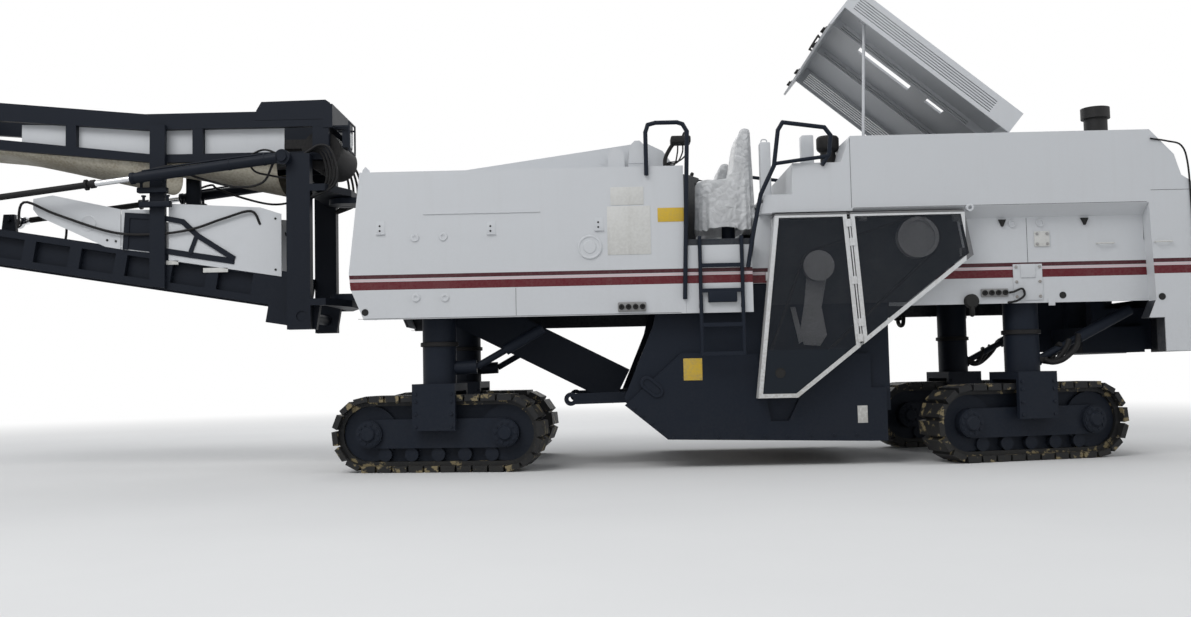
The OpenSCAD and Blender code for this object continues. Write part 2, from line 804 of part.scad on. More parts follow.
module upper_boom() {
    side_y = boom_y - 66;
    color(ink) at_drum() difference() {
        union() {
            xz_pair(side_y, 60) upper_profile();
            xz_pair(side_y, 60) polygon([
                [3700, 2650], [5200, 2650], [7540, 2900], [7540, 3000], [5200, 2720], [3700, 2720]
            ]);
            xz_pair(side_y + 1, 58) translate([3710, 2672]) square([140, 340]);
            for (x = [4800, 5900, 7000]) {
                rise = max(0, x - 5200) * 0.1;
                xz_pair(side_y + 1, 58) translate([x, 2672 + rise]) square([90, 340]);
                box(x + 5, x + 85, 30 - boom_y, boom_y - 30, 2975 + rise, 3045 + rise);
            }
            box(3675, 3761, 1 - boom_y, boom_y - 1, 2925, 3130);
            xz_pair(side_y + 2, 56) polygon([
                [7410, 2930], [fold_x - 66, fold_z + 9], [fold_x + 66, fold_z + 9], [7590, 3180]
            ]);
            disc(fold_x, fold_z, 164, side_y + 3, side_y + 57);
            disc(fold_x, fold_z, 164, -side_y - 57, -side_y - 3);
            disc(fold_x, fold_z, 60, -boom_y - 44, boom_y + 44);
        }
        disc(head_drum[0], head_drum[1], head_shaft_d + 2 * slip, -boom_y, boom_y);
    }
}

module upper_belt() {
    color("#1d1f22") at_drum() union() {
        bar([3850, 2800], [5200, 2800], 80, -boom_y + 75, boom_w - 150);
        disc(head_drum[0], head_drum[1], 340, -boom_y + 75, boom_y - 75);
        disc(head_drum[0], head_drum[1], head_shaft_d, -boom_y + 8, boom_y - 8);
    }
}

module upper_covers() {
    color(white) at_drum() xz_pair(boom_y - 70, 4 - slip) polygon([
        [4450, 2690], [5200, 2700], [6400, 2830], [6400, 3020], [4450, 2960]
    ]);
}

// Work lamp in its guard frame at the head of the conveyor
module head_lamp() {
    color(ink) at_drum() union() {
        for (y = [140, 360]) box(3530, 3675 - slip, y, y + 12, 2932, 2946);
        for (z = [2720, 2970]) box(3530, 3544, 140, 372, z, z + 12);
        for (y = [140, 360]) box(3530, 3544, y, y + 12, 2721, 2981);
        box(3552, 3606, 180, 332, 2760, 2912);
        box(3565, 3595, 230, 280, 2911, 2960);
        box(3594, 3675 - slip, 230, 280, 2930, 2960);
    }
}

function lift_dir() = (rod_pin - barrel_pin) / norm(rod_pin - barrel_pin);
function lift_at(s) = barrel_pin + s * lift_dir();

module lift_barrels() {
    color(ink) at_drum() for (s = [1, -1]) {
        a = lift_at(48);
        b = lift_at(1300);
        difference() {
            union() {
                rod([a[0], s * lift_y, a[1]], [b[0], s * lift_y, b[1]], 90);
                disc(barrel_pin[0], barrel_pin[1], 130, s * lift_y - 30, s * lift_y + 30);
            }
            disc(barrel_pin[0], barrel_pin[1], 80 + 2 * slip, s * lift_y - 31, s * lift_y + 31);
            c = lift_at(600);
            d = lift_at(1301);
            rod([c[0], s * lift_y, c[1]], [d[0], s * lift_y, d[1]], 50 + 2 * slip);
        }
    }
}

module lift_rods() {
    eye_d = rod_pin_d + 2 * rod_eye_play;
    color(chrome) at_drum() for (s = [1, -1]) {
        a = lift_at(900);
        b = lift_at(norm(rod_pin - barrel_pin) - 95);
        difference() {
            union() {
                rod([a[0], s * lift_y, a[1]], [b[0], s * lift_y, b[1]], 50);
                bar(b - 5 * lift_dir(), lift_at(norm(rod_pin - barrel_pin) - 44), 64, s * lift_y - 30, 60);
                disc(rod_pin[0], rod_pin[1], eye_d + 34, s * lift_y - 25, s * lift_y + 25);
            }
            disc(rod_pin[0], rod_pin[1], eye_d, s * lift_y - 31, s * lift_y + 31);
        }
    }
}

module hood_at() {
    translate([hinge_x, 0, hinge_z]) rotate([0, -hood_open, 0]) children();
}

module hood() {
    wall_y = hood_w / 2;
    color(white) at_drum() hood_at() difference() {
        union() {
            difference() {
                translate([0, -wall_y, 0]) cube([hood_len, hood_w, hood_h]);
                translate([plate, plate - wall_y, -1]) cube([hood_len - 2 * plate, hood_w - 2 * plate, hood_h - plate + 1]);
            }
            translate([hood_len - plate, -wall_y, -180]) cube([plate, hood_w, 200]);
            for (y = [-420, 380]) translate([plate - 1, y, hood_h - 90]) cube([hood_len - 2 * plate + 2, 40, 90 - plate + 1]);
            translate([prop_at[0], wall_y - 1, prop_at[1]]) rotate([90, 0, 0])
                cylinder(d = prop_pin_d, h = wall_y - prop_y + 12, $fn = 32);
            for (y = [-800, 740]) translate([0, y, 0]) rotate([-90, 0, 0]) cylinder(d = hood_knuckle_d, h = 60, $fn = 32);
        }
        for (y = [-801, 739]) translate([0, y, 0]) rotate([-90, 0, 0]) cylinder(d = hood_pin_d + 2 * slip, h = 62, $fn = 32);
        for (y = [-868, 801]) translate([-1, y, -1]) cube([17, 67, 17]);
        for (k = [0:5]) translate([220, -wall_y - 1, 34 + 20 * k]) cube([hood_len - 300, hood_w + 2, 8]);
        translate([780, 60, hood_h - plate - 1]) cube([560, 250, plate + 2]);
        translate([420, 90, hood_h - plate - 1]) cube([180, 180, plate + 2]);
    }
}

// A point of the hood, given along it and up from its rim, in the machine's XZ plane
function hood_point(x, z) =
    [hinge_x + x * cos(hood_open) - z * sin(hood_open), hinge_z + x * sin(hood_open) + z * cos(hood_open)];

function prop_foot() = [hood_point(prop_at[0], prop_at[1])[0] + 40, rear_top_z - 90];

module hood_prop() {
    top = hood_point(prop_at[0], prop_at[1]);
    foot = prop_foot();
    color(steel) at_drum() difference() {
        union() {
            rod([top[0], prop_y, top[1]], [foot[0], prop_y, foot[1]], prop_d);
            disc(top[0], top[1], 60, prop_y - 14, prop_y + 14);
        }
        disc(top[0], top[1], prop_pin_d + 2 * slip, prop_y - 15, prop_y + 15);
    }
}

module column(leg) {
    color(ink) at_drum() translate([leg[1], leg[2] * leg_y, 0]) difference() {
        union() {
            translate([0, 0, column_z0]) cylinder(d = column_d, h = column_z1 - column_z0, $fn = 64);
            strut(leg);
        }
        translate([0, 0, column_z0 - 1]) cylinder(d = kingpin_d + 2 * slip, h = kingpin_h + 10, $fn = 48);
    }
}

// The strut that leans back from the column to its pin under the body
module strut(leg) {
    foot = [leg[4], 0, leg[5]];
    head = [leg[6], 0, leg[7]];
    middle = foot + (head - foot) * 0.43;
    rod(foot, foot + (head - foot) * 0.45, strut_rod_d);
    rod(middle, head, strut_d);
    rod([-60, 0, leg[5] - 10], foot, 110);
}

module track_frame(leg) {
    color(ink) at_drum() translate([leg[1], leg[2] * leg_y, 0]) rotate([0, 0, leg[3]]) union() {
        translate([0, 0, track_h + 30]) box(-fork_len / 2, fork_len / 2, -track_w / 2 - fork_gap - fork_plate,
            track_w / 2 + fork_gap + fork_plate, 0, column_z0 - slip - track_h - 30);
        translate([0, 0, column_z0 - 2]) cylinder(d = kingpin_d, h = kingpin_h, $fn = 48);
        xz_pair(track_w / 2 + fork_gap, fork_plate) translate([-fork_len / 2, 330]) square([fork_len, track_h - 290]);
        disc(0, track_r + 60, 90, -track_w / 2 - fork_gap - 4, track_w / 2 + fork_gap + 4);
        box(-arc_x, arc_x, -100, 100, track_r - 116, track_r + 115);
        for (x = [-arc_x, arc_x]) {
            disc(x, track_r, 2 * wheel_r, -60, 60);
            disc(x, track_r, 220, -track_w / 2 + 20, track_w / 2 - 20);
        }
        for (i = [-2:2]) {
            disc(i * 220, track_r - wheel_r + 55, 110, -80, 80);
        }
    }
}

// Place along the track's loop: x, z and turn, for a distance s from the top rear
function loop_place(s) =
    let (a = arc_x, r = chain_r, quarter = PI * chain_r)
    s < 2 * a ? [s - a, r, 0] :
    s < 2 * a + quarter ? let (t = (s - 2 * a) / r * 180 / PI) [a + r * sin(t), r * cos(t), -t] :
    s < 4 * a + quarter ? let (u = s - 2 * a - quarter) [a - u, -r, 180] :
    let (t = (s - 4 * a - quarter) / r * 180 / PI) [-a - r * sin(t), -r * cos(t), 180 - t];

module capsule(r) {
    for (x = [-arc_x, arc_x]) translate([x, 0]) circle(r = r, $fn = 64);
    square([2 * arc_x, 2 * r], center = true);
}

module track(leg) {
    color("#3b352d") at_drum() translate([leg[1], leg[2] * leg_y, 0]) rotate([0, 0, leg[3]]) {
        translate([0, 0, track_r]) {
            union() {
                xz(-90, 180) difference() {
                    capsule(chain_r);
                    capsule(chain_r - chain_t);
                }
                xz(-track_w / 2, track_w) for (i = [0:shoe_count - 1]) {
                    p = loop_place(i * pitch);
                    on_straight = p[2] == 0 || p[2] == 180;
                    tip = (on_straight ? track_r : arc_tip_r) - chain_r;
                    translate([p[0], p[1]]) rotate(p[2])
                        polygon([[-shoe_l / 2, -14], [shoe_l / 2, -14], [shoe_l / 2 - 4, tip], [4 - shoe_l / 2, tip]]);
                }
            }
        }
    }
}

main_frame();
leg_guides();
front_body();
platform();
ladder();
handrails();
console();
seats();
engine_housing();
engine();
radiator();
exhaust_stack();
drum_housing();
primary_conveyor();
belt_guard();
guard_mesh();
drive_belt();
hood();
hood_prop();
guard_door();
door_mesh();
engine_pulley();
idler_pulley();
drum_pulley();
milling_drum();
side_plate_left();
side_plate_right();
scraper();
gradation_arm();
slew_yoke();
lower_boom();
lower_belt();
lower_covers();
upper_boom();
upper_belt();
upper_covers();
head_lamp();
lift_barrels();
lift_rods();
column(LEGS[0]);  // column_fl
column(LEGS[1]);  // column_fr
column(LEGS[2]);  // column_rl
column(LEGS[3]);  // column_rr
track_frame(LEGS[0]);  // track_frame_fl
track_frame(LEGS[1]);  // track_frame_fr
track_frame(LEGS[2]);  // track_frame_rl
track_frame(LEGS[3]);  // track_frame_rr
track(LEGS[0]);  // track_fl
track(LEGS[1]);  // track_fr
track(LEGS[2]);  // track_rl
track(LEGS[3]);  // track_rr
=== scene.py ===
import bpy
import bmesh
import math
import numpy as np
from mathutils import Matrix


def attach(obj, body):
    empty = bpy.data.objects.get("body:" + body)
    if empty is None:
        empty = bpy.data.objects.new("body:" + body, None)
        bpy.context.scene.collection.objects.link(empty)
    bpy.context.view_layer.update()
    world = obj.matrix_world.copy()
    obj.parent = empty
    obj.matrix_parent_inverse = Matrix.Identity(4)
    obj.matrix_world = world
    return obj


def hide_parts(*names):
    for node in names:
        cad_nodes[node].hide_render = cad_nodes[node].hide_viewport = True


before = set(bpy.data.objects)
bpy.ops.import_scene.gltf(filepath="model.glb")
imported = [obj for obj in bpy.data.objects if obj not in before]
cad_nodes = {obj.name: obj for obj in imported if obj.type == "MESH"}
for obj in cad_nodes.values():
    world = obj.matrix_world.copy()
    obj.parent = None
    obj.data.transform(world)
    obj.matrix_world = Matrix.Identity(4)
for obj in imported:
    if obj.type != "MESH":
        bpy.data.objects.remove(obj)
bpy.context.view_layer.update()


# Camera
# A hand-held camera stood square to the machine's left side, ten metres from its middle line and low down.
def placed(name, data):
    """An object of that data in the scene, at the origin."""
    made = bpy.data.objects.new(name, data)
    bpy.context.scene.collection.objects.link(made)
    return made


def turned_camera(down_view, level_line):
    """Rotation of a camera that sees the world's -Y along down_view and its level lines along level_line.
    The three world directions, written in the camera's own axes, form one rotation, and the world's axes
    another. The camera's turn is the second one times the first one turned round."""
    ahead = np.array(down_view) / np.linalg.norm(down_view)
    up = np.cross(-ahead, level_line)
    up /= np.linalg.norm(up)
    seen = np.column_stack([np.cross(up, -ahead), up, -ahead])
    world = np.array([[-1.0, 0, 0], [0, 0, 1.0], [0, 1.0, 0]])
    return (world @ seen.T).tolist()


photo_camera = bpy.data.cameras.new("photo_camera")
photo_camera.sensor_width = 36.0
photo_camera.lens = 34.04
photo_camera.clip_end = 200.0
camera_object = placed("photo_camera", photo_camera)
camera_turn = Matrix(turned_camera((0.00844, -0.0564, -1.0), (1.0, 0.021, 0.0))).to_4x4()
camera_object.matrix_world = Matrix.Translation((-0.813, 10.0, 0.765)) @ camera_turn
bpy.context.scene.camera = camera_object
bpy.context.scene.view_settings.view_transform = "Standard"


# Floor and backdrop
# A pale sweep of board that runs level under the machine and curves up behind it.
def surface(name, points, around=False, ends=False):
    """A mesh from a grid of points, one row after another; each cell of the grid is a four-sided face.
    The rows close on themselves if around is set; the first and last row are filled if ends is set."""
    rows, across = points.shape[:2]
    number = np.arange(rows * across).reshape(rows, across)
    nxt = np.roll(number, -1, axis=1) if around else number[:, 1:]
    here = number if around else number[:, :-1]
    quads = np.stack([here[:-1], nxt[:-1], nxt[1:], here[1:]], axis=-1).reshape(-1, 4).tolist()
    if ends:
        quads += [number[0][::-1].tolist(), number[-1].tolist()]
    mesh = bpy.data.meshes.new(name)
    mesh.from_pydata(points.reshape(-1, 3).tolist(), [], quads)
    return mesh


def sweep_floor(t, x):
    """Level ground for t up to 1, then a quarter of a circle of 6 m, then straight up; x runs across."""
    turn = np.clip((t - 1.0) * math.pi / 2, 0, math.pi / 2)
    rise = np.clip(t - 2.0, 0, None) * 14.0
    y = 30.0 - 60.0 * np.clip(t, 0, 1) - 6.0 * np.sin(turn)
    z = 6.0 * (1 - np.cos(turn)) + rise - 0.002
    return np.stack([x, y, z], axis=-1)


def finish(name, roughness=0.5, metallic=0.0):
    """A new material with its node tree and its shader."""
    made = bpy.data.materials.new(name)
    made.use_nodes = True
    shader = made.node_tree.nodes["Principled BSDF"]
    shader.inputs["Roughness"].default_value = roughness
    shader.inputs["Metallic"].default_value = metallic
    return made, made.node_tree, shader


def node(tree, kind, at=(0, 0), **values):
    """A node of the given kind, with the named settings and inputs."""
    made = tree.nodes.new("ShaderNode" + kind)
    made.location = at
    for key, value in values.items():
        if hasattr(made, key):
            setattr(made, key, value)
        else:
            made.inputs[key.replace("_", " ")].default_value = value
    return made


def wire(tree, start, out, end, into):
    """Links one named or numbered output to one named or numbered input."""
    tree.links.new(start.outputs[out], end.inputs[into])


def feed(tree, source, end, into):
    """Gives an input what source is: a number, a colour, a node's first output or a (node, output) pair."""
    if isinstance(source, bpy.types.Node):
        wire(tree, source, 0, end, into)
    elif isinstance(source, tuple) and isinstance(source[0], bpy.types.Node):
        wire(tree, *source, end, into)
    else:
        end.inputs[into].default_value = (*source, 1) if isinstance(source, tuple) else source


def sum_node(tree, how, a, b, at=(0, 0), clamp=False):
    """A Math node of two sources."""
    made = node(tree, "Math", at, operation=how, use_clamp=clamp)
    feed(tree, a, made, 0)
    feed(tree, b, made, 1)
    return made


def two_tone(tree, factor, dark, light, at):
    """A colour that runs from dark to light with a factor."""
    made = node(tree, "ValToRGB", at)
    for stop, tone in zip(made.color_ramp.elements, (dark, light)):
        stop.color = (*tone, 1)
    feed(tree, factor, made, "Fac")
    return made


def clear_rays(tree, x, y):
    """1 for what the camera sees, straight, mirrored or through glass."""
    ray = node(tree, "LightPath", (x, y))
    seen = sum_node(tree, "MAXIMUM", (ray, "Is Camera Ray"), (ray, "Is Glossy Ray"), (x + 200, y))
    return sum_node(tree, "MAXIMUM", seen, (ray, "Is Transmission Ray"), (x + 400, y))


def either_light(tree, share, plain, white, end):
    """Two shaders, mixed by a share, at the tree's end."""
    made = node(tree, "MixShader", (250, 0))
    for into, source in enumerate((share, plain, white)):
        feed(tree, source, made, into)
    wire(tree, made, 0, tree.nodes[end], "Surface")


floor_t, floor_x = np.meshgrid(np.concatenate([[0.0, 0.5, 1.0], np.linspace(1.05, 2.0, 20), [3.0]]),
                               np.linspace(-60.0, 60.0, 5), indexing="ij")
floor_mesh = surface("floor_board", sweep_floor(floor_t, floor_x))
floor_board = placed("floor_board", floor_mesh)
floor_mesh.shade_smooth()
board_finish, board_tree, board_shader = finish("floor_board", 0.85)
board_noise = node(board_tree, "TexNoise", (-700, 0), Scale=0.6, Detail=5.0)
board_place = node(board_tree, "TexCoord", (-900, 0))
wire(board_tree, board_place, "Object", board_noise, "Vector")
board_tone = two_tone(board_tree, (board_noise, "Fac"), (0.70, 0.70, 0.70), (0.77, 0.77, 0.765), (-500, 0))
wire(board_tree, board_tone, "Color", board_shader, "Base Color")
far_glow = node(board_tree, "Emission", (0, -300), Color=(1, 1, 1, 1), Strength=1.0)
far_away = node(board_tree, "VectorMath", (-700, -300), operation="LENGTH")
wire(board_tree, board_place, "Object", far_away, 0)
far_share = node(board_tree, "MapRange", (-500, -300), interpolation_type="SMOOTHSTEP", From_Min=6.0,
                 From_Max=17.0)
wire(board_tree, far_away, "Value", far_share, "Value")
glow_share = sum_node(board_tree, "MULTIPLY", far_share, clear_rays(board_tree, -900, -600), (-250, -400))
either_light(board_tree, glow_share, board_shader, far_glow, "Material Output")
floor_mesh.materials.append(board_finish)


# Light
# A white sky all round and three broad soft lamps, the largest above and behind the camera's left shoulder.
sky = bpy.data.worlds.new("pale_sky")
bpy.context.scene.world = sky
sky.use_nodes = True
sky_tree = sky.node_tree
plain_sky = sky_tree.nodes["Background"]
plain_sky.inputs["Color"].default_value = (0.93, 0.96, 1.0, 1)
plain_sky.inputs["Strength"].default_value = 0.50
seen_sky = node(sky_tree, "Background", (0, -200), Color=(1, 1, 1, 1), Strength=1.0)
either_light(sky_tree, clear_rays(sky_tree, -600, 300), plain_sky, seen_sky, "World Output")


def soft_lamp(name, place, aim, size, power):
    """A rectangular lamp at a place, turned to shine at a point."""
    lamp = bpy.data.lights.new(name, "AREA")
    lamp.shape = "RECTANGLE"
    lamp.size, lamp.size_y = size
    lamp.energy = power
    holder = placed(name, lamp)
    away = Matrix.Translation(place).to_translation() - Matrix.Translation(aim).to_translation()
    holder.rotation_euler = away.to_track_quat("Z", "Y").to_euler()
    holder.location = place


soft_lamp("left_sky_lamp", (5.0, 9.0, 11.0), (0, 0, 1.2), (9.0, 6.0), 820)
soft_lamp("rear_sky_lamp", (-10.0, 3.0, 9.0), (-1.0, 0, 1.5), (6.0, 6.0), 280)
soft_lamp("far_sky_lamp", (2.0, -10.0, 9.0), (0, 0, 1.5), (9.0, 5.0), 450)


# Shared looks of paint and metal
# Outdoors, thin road dust lies low down, rain has drawn faint streaks, and paint has a fine skin.
def effect(name, ins, outs):
    """An empty node group with named inputs and outputs, and its two end nodes."""
    group = bpy.data.node_groups.new(name, "ShaderNodeTree")
    for label, value in ins.items():
        kind = "NodeSocketColor" if isinstance(value, tuple) else "NodeSocketFloat"
        group.interface.new_socket(label, in_out="INPUT", socket_type=kind).default_value = value
    for label, kind in outs.items():
        group.interface.new_socket(label, in_out="OUTPUT", socket_type="NodeSocket" + kind)
    start = group.nodes.new("NodeGroupInput")
    start.location = (-1200, 0)
    end = group.nodes.new("NodeGroupOutput")
    end.location = (900, 0)
    return group, start, end


def object_axes(tree, x, y):
    """The piece's own coordinates, whole and split into X, Y and Z."""
    place = node(tree, "TexCoord", (x, y))
    parts = node(tree, "SeparateXYZ", (x + 200, y))
    wire(tree, place, "Object", parts, "Vector")
    return place, parts


def blended(tree, mask, first, second, at):
    """A colour that goes from first to second with a mask, as a (node, output) pair."""
    made = node(tree, "Mix", at, data_type="RGBA")
    for into, source in ((0, mask), (6, first), (7, second)):
        feed(tree, source, made, into)
    return made, 2


# Road dust: more of it near the ground, broken up by two sizes of noise, with upright streaks.
road_dust, dust_in, dust_out = effect(
    "road_dust",
    {"Clean": (0.8, 0.8, 0.8, 1), "Dust": (0.3, 0.27, 0.22, 1), "Amount": 0.3, "Reach": 1.2, "Streaks": 0.3,
     "Gloss": 0.35},
    {"Color": "Color", "Roughness": "Float", "Skin": "Float"})
dust_place, split = object_axes(road_dust, -1500, 500)
cloud = node(road_dust, "TexNoise", (-1000, 300), Scale=2.3, Detail=6.0, Roughness=0.62)
speck = node(road_dust, "TexNoise", (-1000, 0), Scale=48.0, Detail=3.0)
skin = node(road_dust, "TexNoise", (-1000, -300), Scale=210.0, Detail=2.0)
stretch = node(road_dust, "Mapping", (-1250, -600), Scale=(9.0, 9.0, 0.55))
streak = node(road_dust, "TexNoise", (-1000, -600), Scale=2.0, Detail=5.0)
wire(road_dust, stretch, "Vector", streak, "Vector")
for pattern in (stretch, cloud, speck, skin):
    wire(road_dust, dust_place, "Object", pattern, "Vector")
low = sum_node(road_dust, "DIVIDE", (split, "Z"), (dust_in, "Reach"), (-900, 550))
low = sum_node(road_dust, "SUBTRACT", 1.0, low, (-750, 550), True)
low = sum_node(road_dust, "POWER", low, 1.6, (-600, 550))
patch = sum_node(road_dust, "MULTIPLY", (cloud, "Fac"), (speck, "Fac"), (-700, 200))
patch = sum_node(road_dust, "MULTIPLY", patch, 3.4, (-550, 200))
patch = sum_node(road_dust, "POWER", patch, 2.2, (-400, 200), True)
rain = sum_node(road_dust, "SUBTRACT", (streak, "Fac"), 0.55, (-700, -600), True)
rain = sum_node(road_dust, "MULTIPLY", rain, 3.0, (-550, -600), True)
rain = sum_node(road_dust, "MULTIPLY", rain, (dust_in, "Streaks"), (-400, -600))
lying = sum_node(road_dust, "ADD", low, 0.18, (-400, 500))
lying = sum_node(road_dust, "MULTIPLY", lying, patch, (-250, 400))
lying = sum_node(road_dust, "MULTIPLY", lying, (dust_in, "Amount"), (-100, 400))
mask = sum_node(road_dust, "ADD", lying, rain, (50, 300), True)
dusted = blended(road_dust, mask, (dust_in, "Clean"), (dust_in, "Dust"), (300, 200))
feed(road_dust, dusted, dust_out, "Color")
rough = sum_node(road_dust, "MULTIPLY", mask, 0.5, (300, -100))
rough = sum_node(road_dust, "ADD", rough, (dust_in, "Gloss"), (450, -100))
rough_noise = sum_node(road_dust, "MULTIPLY", (cloud, "Fac"), 0.16, (300, -250))
rough = sum_node(road_dust, "ADD", rough, rough_noise, (600, -100), True)
wire(road_dust, rough, 0, dust_out, "Roughness")
skin_sum = sum_node(road_dust, "MULTIPLY", mask, (speck, "Fac"), (300, -400))
skin_sum = sum_node(road_dust, "ADD", skin_sum, (skin, "Fac"), (450, -400))
wire(road_dust, skin_sum, 0, dust_out, "Skin")


# Worn edges and chips: a spotty mask where paint has gone and the metal or the primer shows.
chips, chips_in, chips_out = effect("paint_chips", {"Share": 0.1, "Size": 14.0}, {"Mask": "Float"})
chips_place = node(chips, "TexCoord", (-1100, -200))
chip_noise = node(chips, "TexNoise", (-800, 100), Detail=8.0, Roughness=0.7)
chip_cells = node(chips, "TexVoronoi", (-800, -200))
for pattern in (chip_noise, chip_cells):
    wire(chips, chips_place, "Object", pattern, "Vector")
    wire(chips, chips_in, "Size", pattern, "Scale")
chip_sum = sum_node(chips, "MULTIPLY", (chip_cells, "Distance"), 0.35, (-550, -200))
chip_sum = sum_node(chips, "SUBTRACT", (chip_noise, "Fac"), chip_sum, (-400, 0))
chip_edge = sum_node(chips, "SUBTRACT", 0.66, (chips_in, "Share"), (-400, -300))
chip_sum = sum_node(chips, "SUBTRACT", chip_sum, chip_edge, (-200, 0))
chip_sum = sum_node(chips, "MULTIPLY", chip_sum, 30.0, (0, 0), True)
wire(chips, chip_sum, 0, chips_out, "Mask")


def bumped(tree, height, shader, strength, distance, at):
    """A bump of that strength and depth from a height, on the shader's normal."""
    relief = node(tree, "Bump", at, Strength=strength, Distance=distance)
    feed(tree, height, relief, "Height")
    wire(tree, relief, "Normal", shader, "Normal")


def painted(name, clean, dust, amount=0.3, reach=1.2, streaks=0.2, gloss=0.3, share=0.0,
            bare=(0.2, 0.14, 0.09), bump=0.12, size=14.0, coat=0.0, mirror=0.5):
    """Sprayed paint over steel: the road dust group gives the colour, chips show what is under it,
    and a fine bump gives the skin of the paint."""
    made, tree, shader = finish(name, gloss)
    film = node(tree, "Group", (-600, 0), node_tree=road_dust, Clean=(*clean, 1), Dust=(*dust, 1),
                Amount=amount, Reach=reach, Streaks=streaks, Gloss=gloss)
    spots = node(tree, "Group", (-600, -400), node_tree=chips, Share=share, Size=size)
    over = blended(tree, (spots, "Mask"), (film, "Color"), bare, (-250, 0))
    feed(tree, over, shader, "Base Color")
    wire(tree, film, "Roughness", shader, "Roughness")
    bumped(tree, (film, "Skin"), shader, bump, 0.0015, (-250, -300))
    for label, value in (("Specular IOR Level", mirror), ("Coat Weight", coat), ("Coat Roughness", 0.12)):
        shader.inputs[label].default_value = value
    return made


def dress(made, *names):
    """Gives CAD nodes a finish, in each of their material slots."""
    for name in names:
        for place in cad_nodes[name].material_slots:
            place.material = made


# White body panels
# Folded steel sheets sprayed gloss white, with a wide and a thin dark red line along both sides.
body_white = painted("body_white", (0.585, 0.60, 0.62), (0.40, 0.38, 0.35), amount=0.13, reach=2.6,
                     streaks=0.07, bump=0.05, mirror=0.26)
side_lines = ((1.475, 0.032, (0.100, 0.001, 0.008)), (1.546, 0.0155, (0.050, 0.002, 0.008)),
              (1.5185, 0.0085, (0.58, 0.46, 0.48)))        # height of the middle, half width, colour


def dust_film(tree):
    """The node of a painted finish that holds its clean colour."""
    return next(n for n in tree.nodes if n.type == "GROUP" and n.node_tree == road_dust)


def striped(name, inner, low, high=9.0, skirt_top=1.235, bay=(0.0, 0.0)):
    """The white finish with lines between two heights, on faces that look sideways and lie well out. Faces
    nearer the middle than inner and below the height low, and skirts' insides up to skirt_top, carry painted
    shade in the chassis paint's dark colour; all faces above high carry the chassis paint. Faces that look
    along X take no painted shade outside the bay's two places."""
    made = body_white.copy()
    made.name = name
    tree = made.node_tree
    film = dust_film(tree)
    place, parts = object_axes(tree, -1700, 300)
    normal = node(tree, "NewGeometry", (-1700, -100))
    looks = node(tree, "SeparateXYZ", (-1500, -100))
    wire(tree, normal, "Normal", looks, "Vector")
    off_middle = sum_node(tree, "ABSOLUTE", (parts, "Y"), 0.0, (-1350, 100))
    out = sum_node(tree, "GREATER_THAN", off_middle, 1.0, (-1200, 100))
    flat = sum_node(tree, "ABSOLUTE", (looks, "Y"), 0.0, (-1350, -100))
    flat = sum_node(tree, "GREATER_THAN", flat, 0.7, (-1200, -100))
    out = sum_node(tree, "MULTIPLY", out, flat, (-1050, 0))
    colour = tuple(film.inputs["Clean"].default_value)[:3]
    for row, (middle, half, line) in enumerate(side_lines):
        up = 500 + 200 * row
        near = sum_node(tree, "SUBTRACT", (parts, "Z"), middle, (-1350, up))
        near = sum_node(tree, "ABSOLUTE", near, 0.0, (-1200, up))
        near = sum_node(tree, "LESS_THAN", near, half, (-1050, up))
        near = sum_node(tree, "MULTIPLY", near, out, (-900, up))
        colour = blended(tree, near, colour, line, (-750, up))
    # Painted shade: inner faces low in the body, and the skirts' insides, take a dark blue-black for the
    # shade they lie in.
    skirt = sum_node(tree, "LESS_THAN", (parts, "Z"), skirt_top, (-1500, 1450))
    skirt = sum_node(tree, "MULTIPLY", skirt, 1.2 - inner, (-1350, 1450))
    shade_and_top_mask = sum_node(tree, "SUBTRACT", off_middle, skirt, (-1350, 1300))
    shade_and_top_mask = sum_node(tree, "LESS_THAN", shade_and_top_mask, inner, (-1200, 1300))
    under = sum_node(tree, "LESS_THAN", (parts, "Z"), low, (-1200, 1450))
    endways = sum_node(tree, "ABSOLUTE", (looks, "X"), 0.0, (-1350, 1600))
    endways = sum_node(tree, "LESS_THAN", endways, 0.5, (-1200, 1600))
    past_rear = sum_node(tree, "GREATER_THAN", (parts, "X"), bay[0], (-1350, 1850))
    short_of_front = sum_node(tree, "LESS_THAN", (parts, "X"), bay[1], (-1350, 2000))
    in_bay = sum_node(tree, "MULTIPLY", past_rear, short_of_front, (-1200, 1900))
    endways = sum_node(tree, "MAXIMUM", endways, in_bay, (-1050, 1700))
    shade_and_top_mask = sum_node(tree, "MULTIPLY", shade_and_top_mask, under, (-1050, 1400))
    shade_and_top_mask = sum_node(tree, "MULTIPLY", shade_and_top_mask, endways, (-900, 1400))
    over = sum_node(tree, "GREATER_THAN", (parts, "Z"), high, (-1050, 1700))
    shade_and_top_mask = sum_node(tree, "MAXIMUM", shade_and_top_mask, over, (-750, 1500))
    shade_and_top_tone = blended(tree, shade_and_top_mask, colour, (0.012, 0.016, 0.024), (-600, 1200))
    feed(tree, shade_and_top_tone, film, "Clean")
    return made


# Painted shade darkens the insides of the front body, the engine housing and the platform.
body_striped = striped("body_striped", 1.085, 2.05, skirt_top=1.43)
housing_striped = striped("housing_striped", 1.085, 2.05, bay=(-5.53, -2.83))
platform_striped = striped("platform_striped", 1.185, 9.0, 1.741)
dress(body_striped, "front_body")
dress(housing_striped, "engine_housing")
dress(platform_striped, "platform")
dress(body_white, "hood", "lower_covers", "upper_covers", "hood_prop")


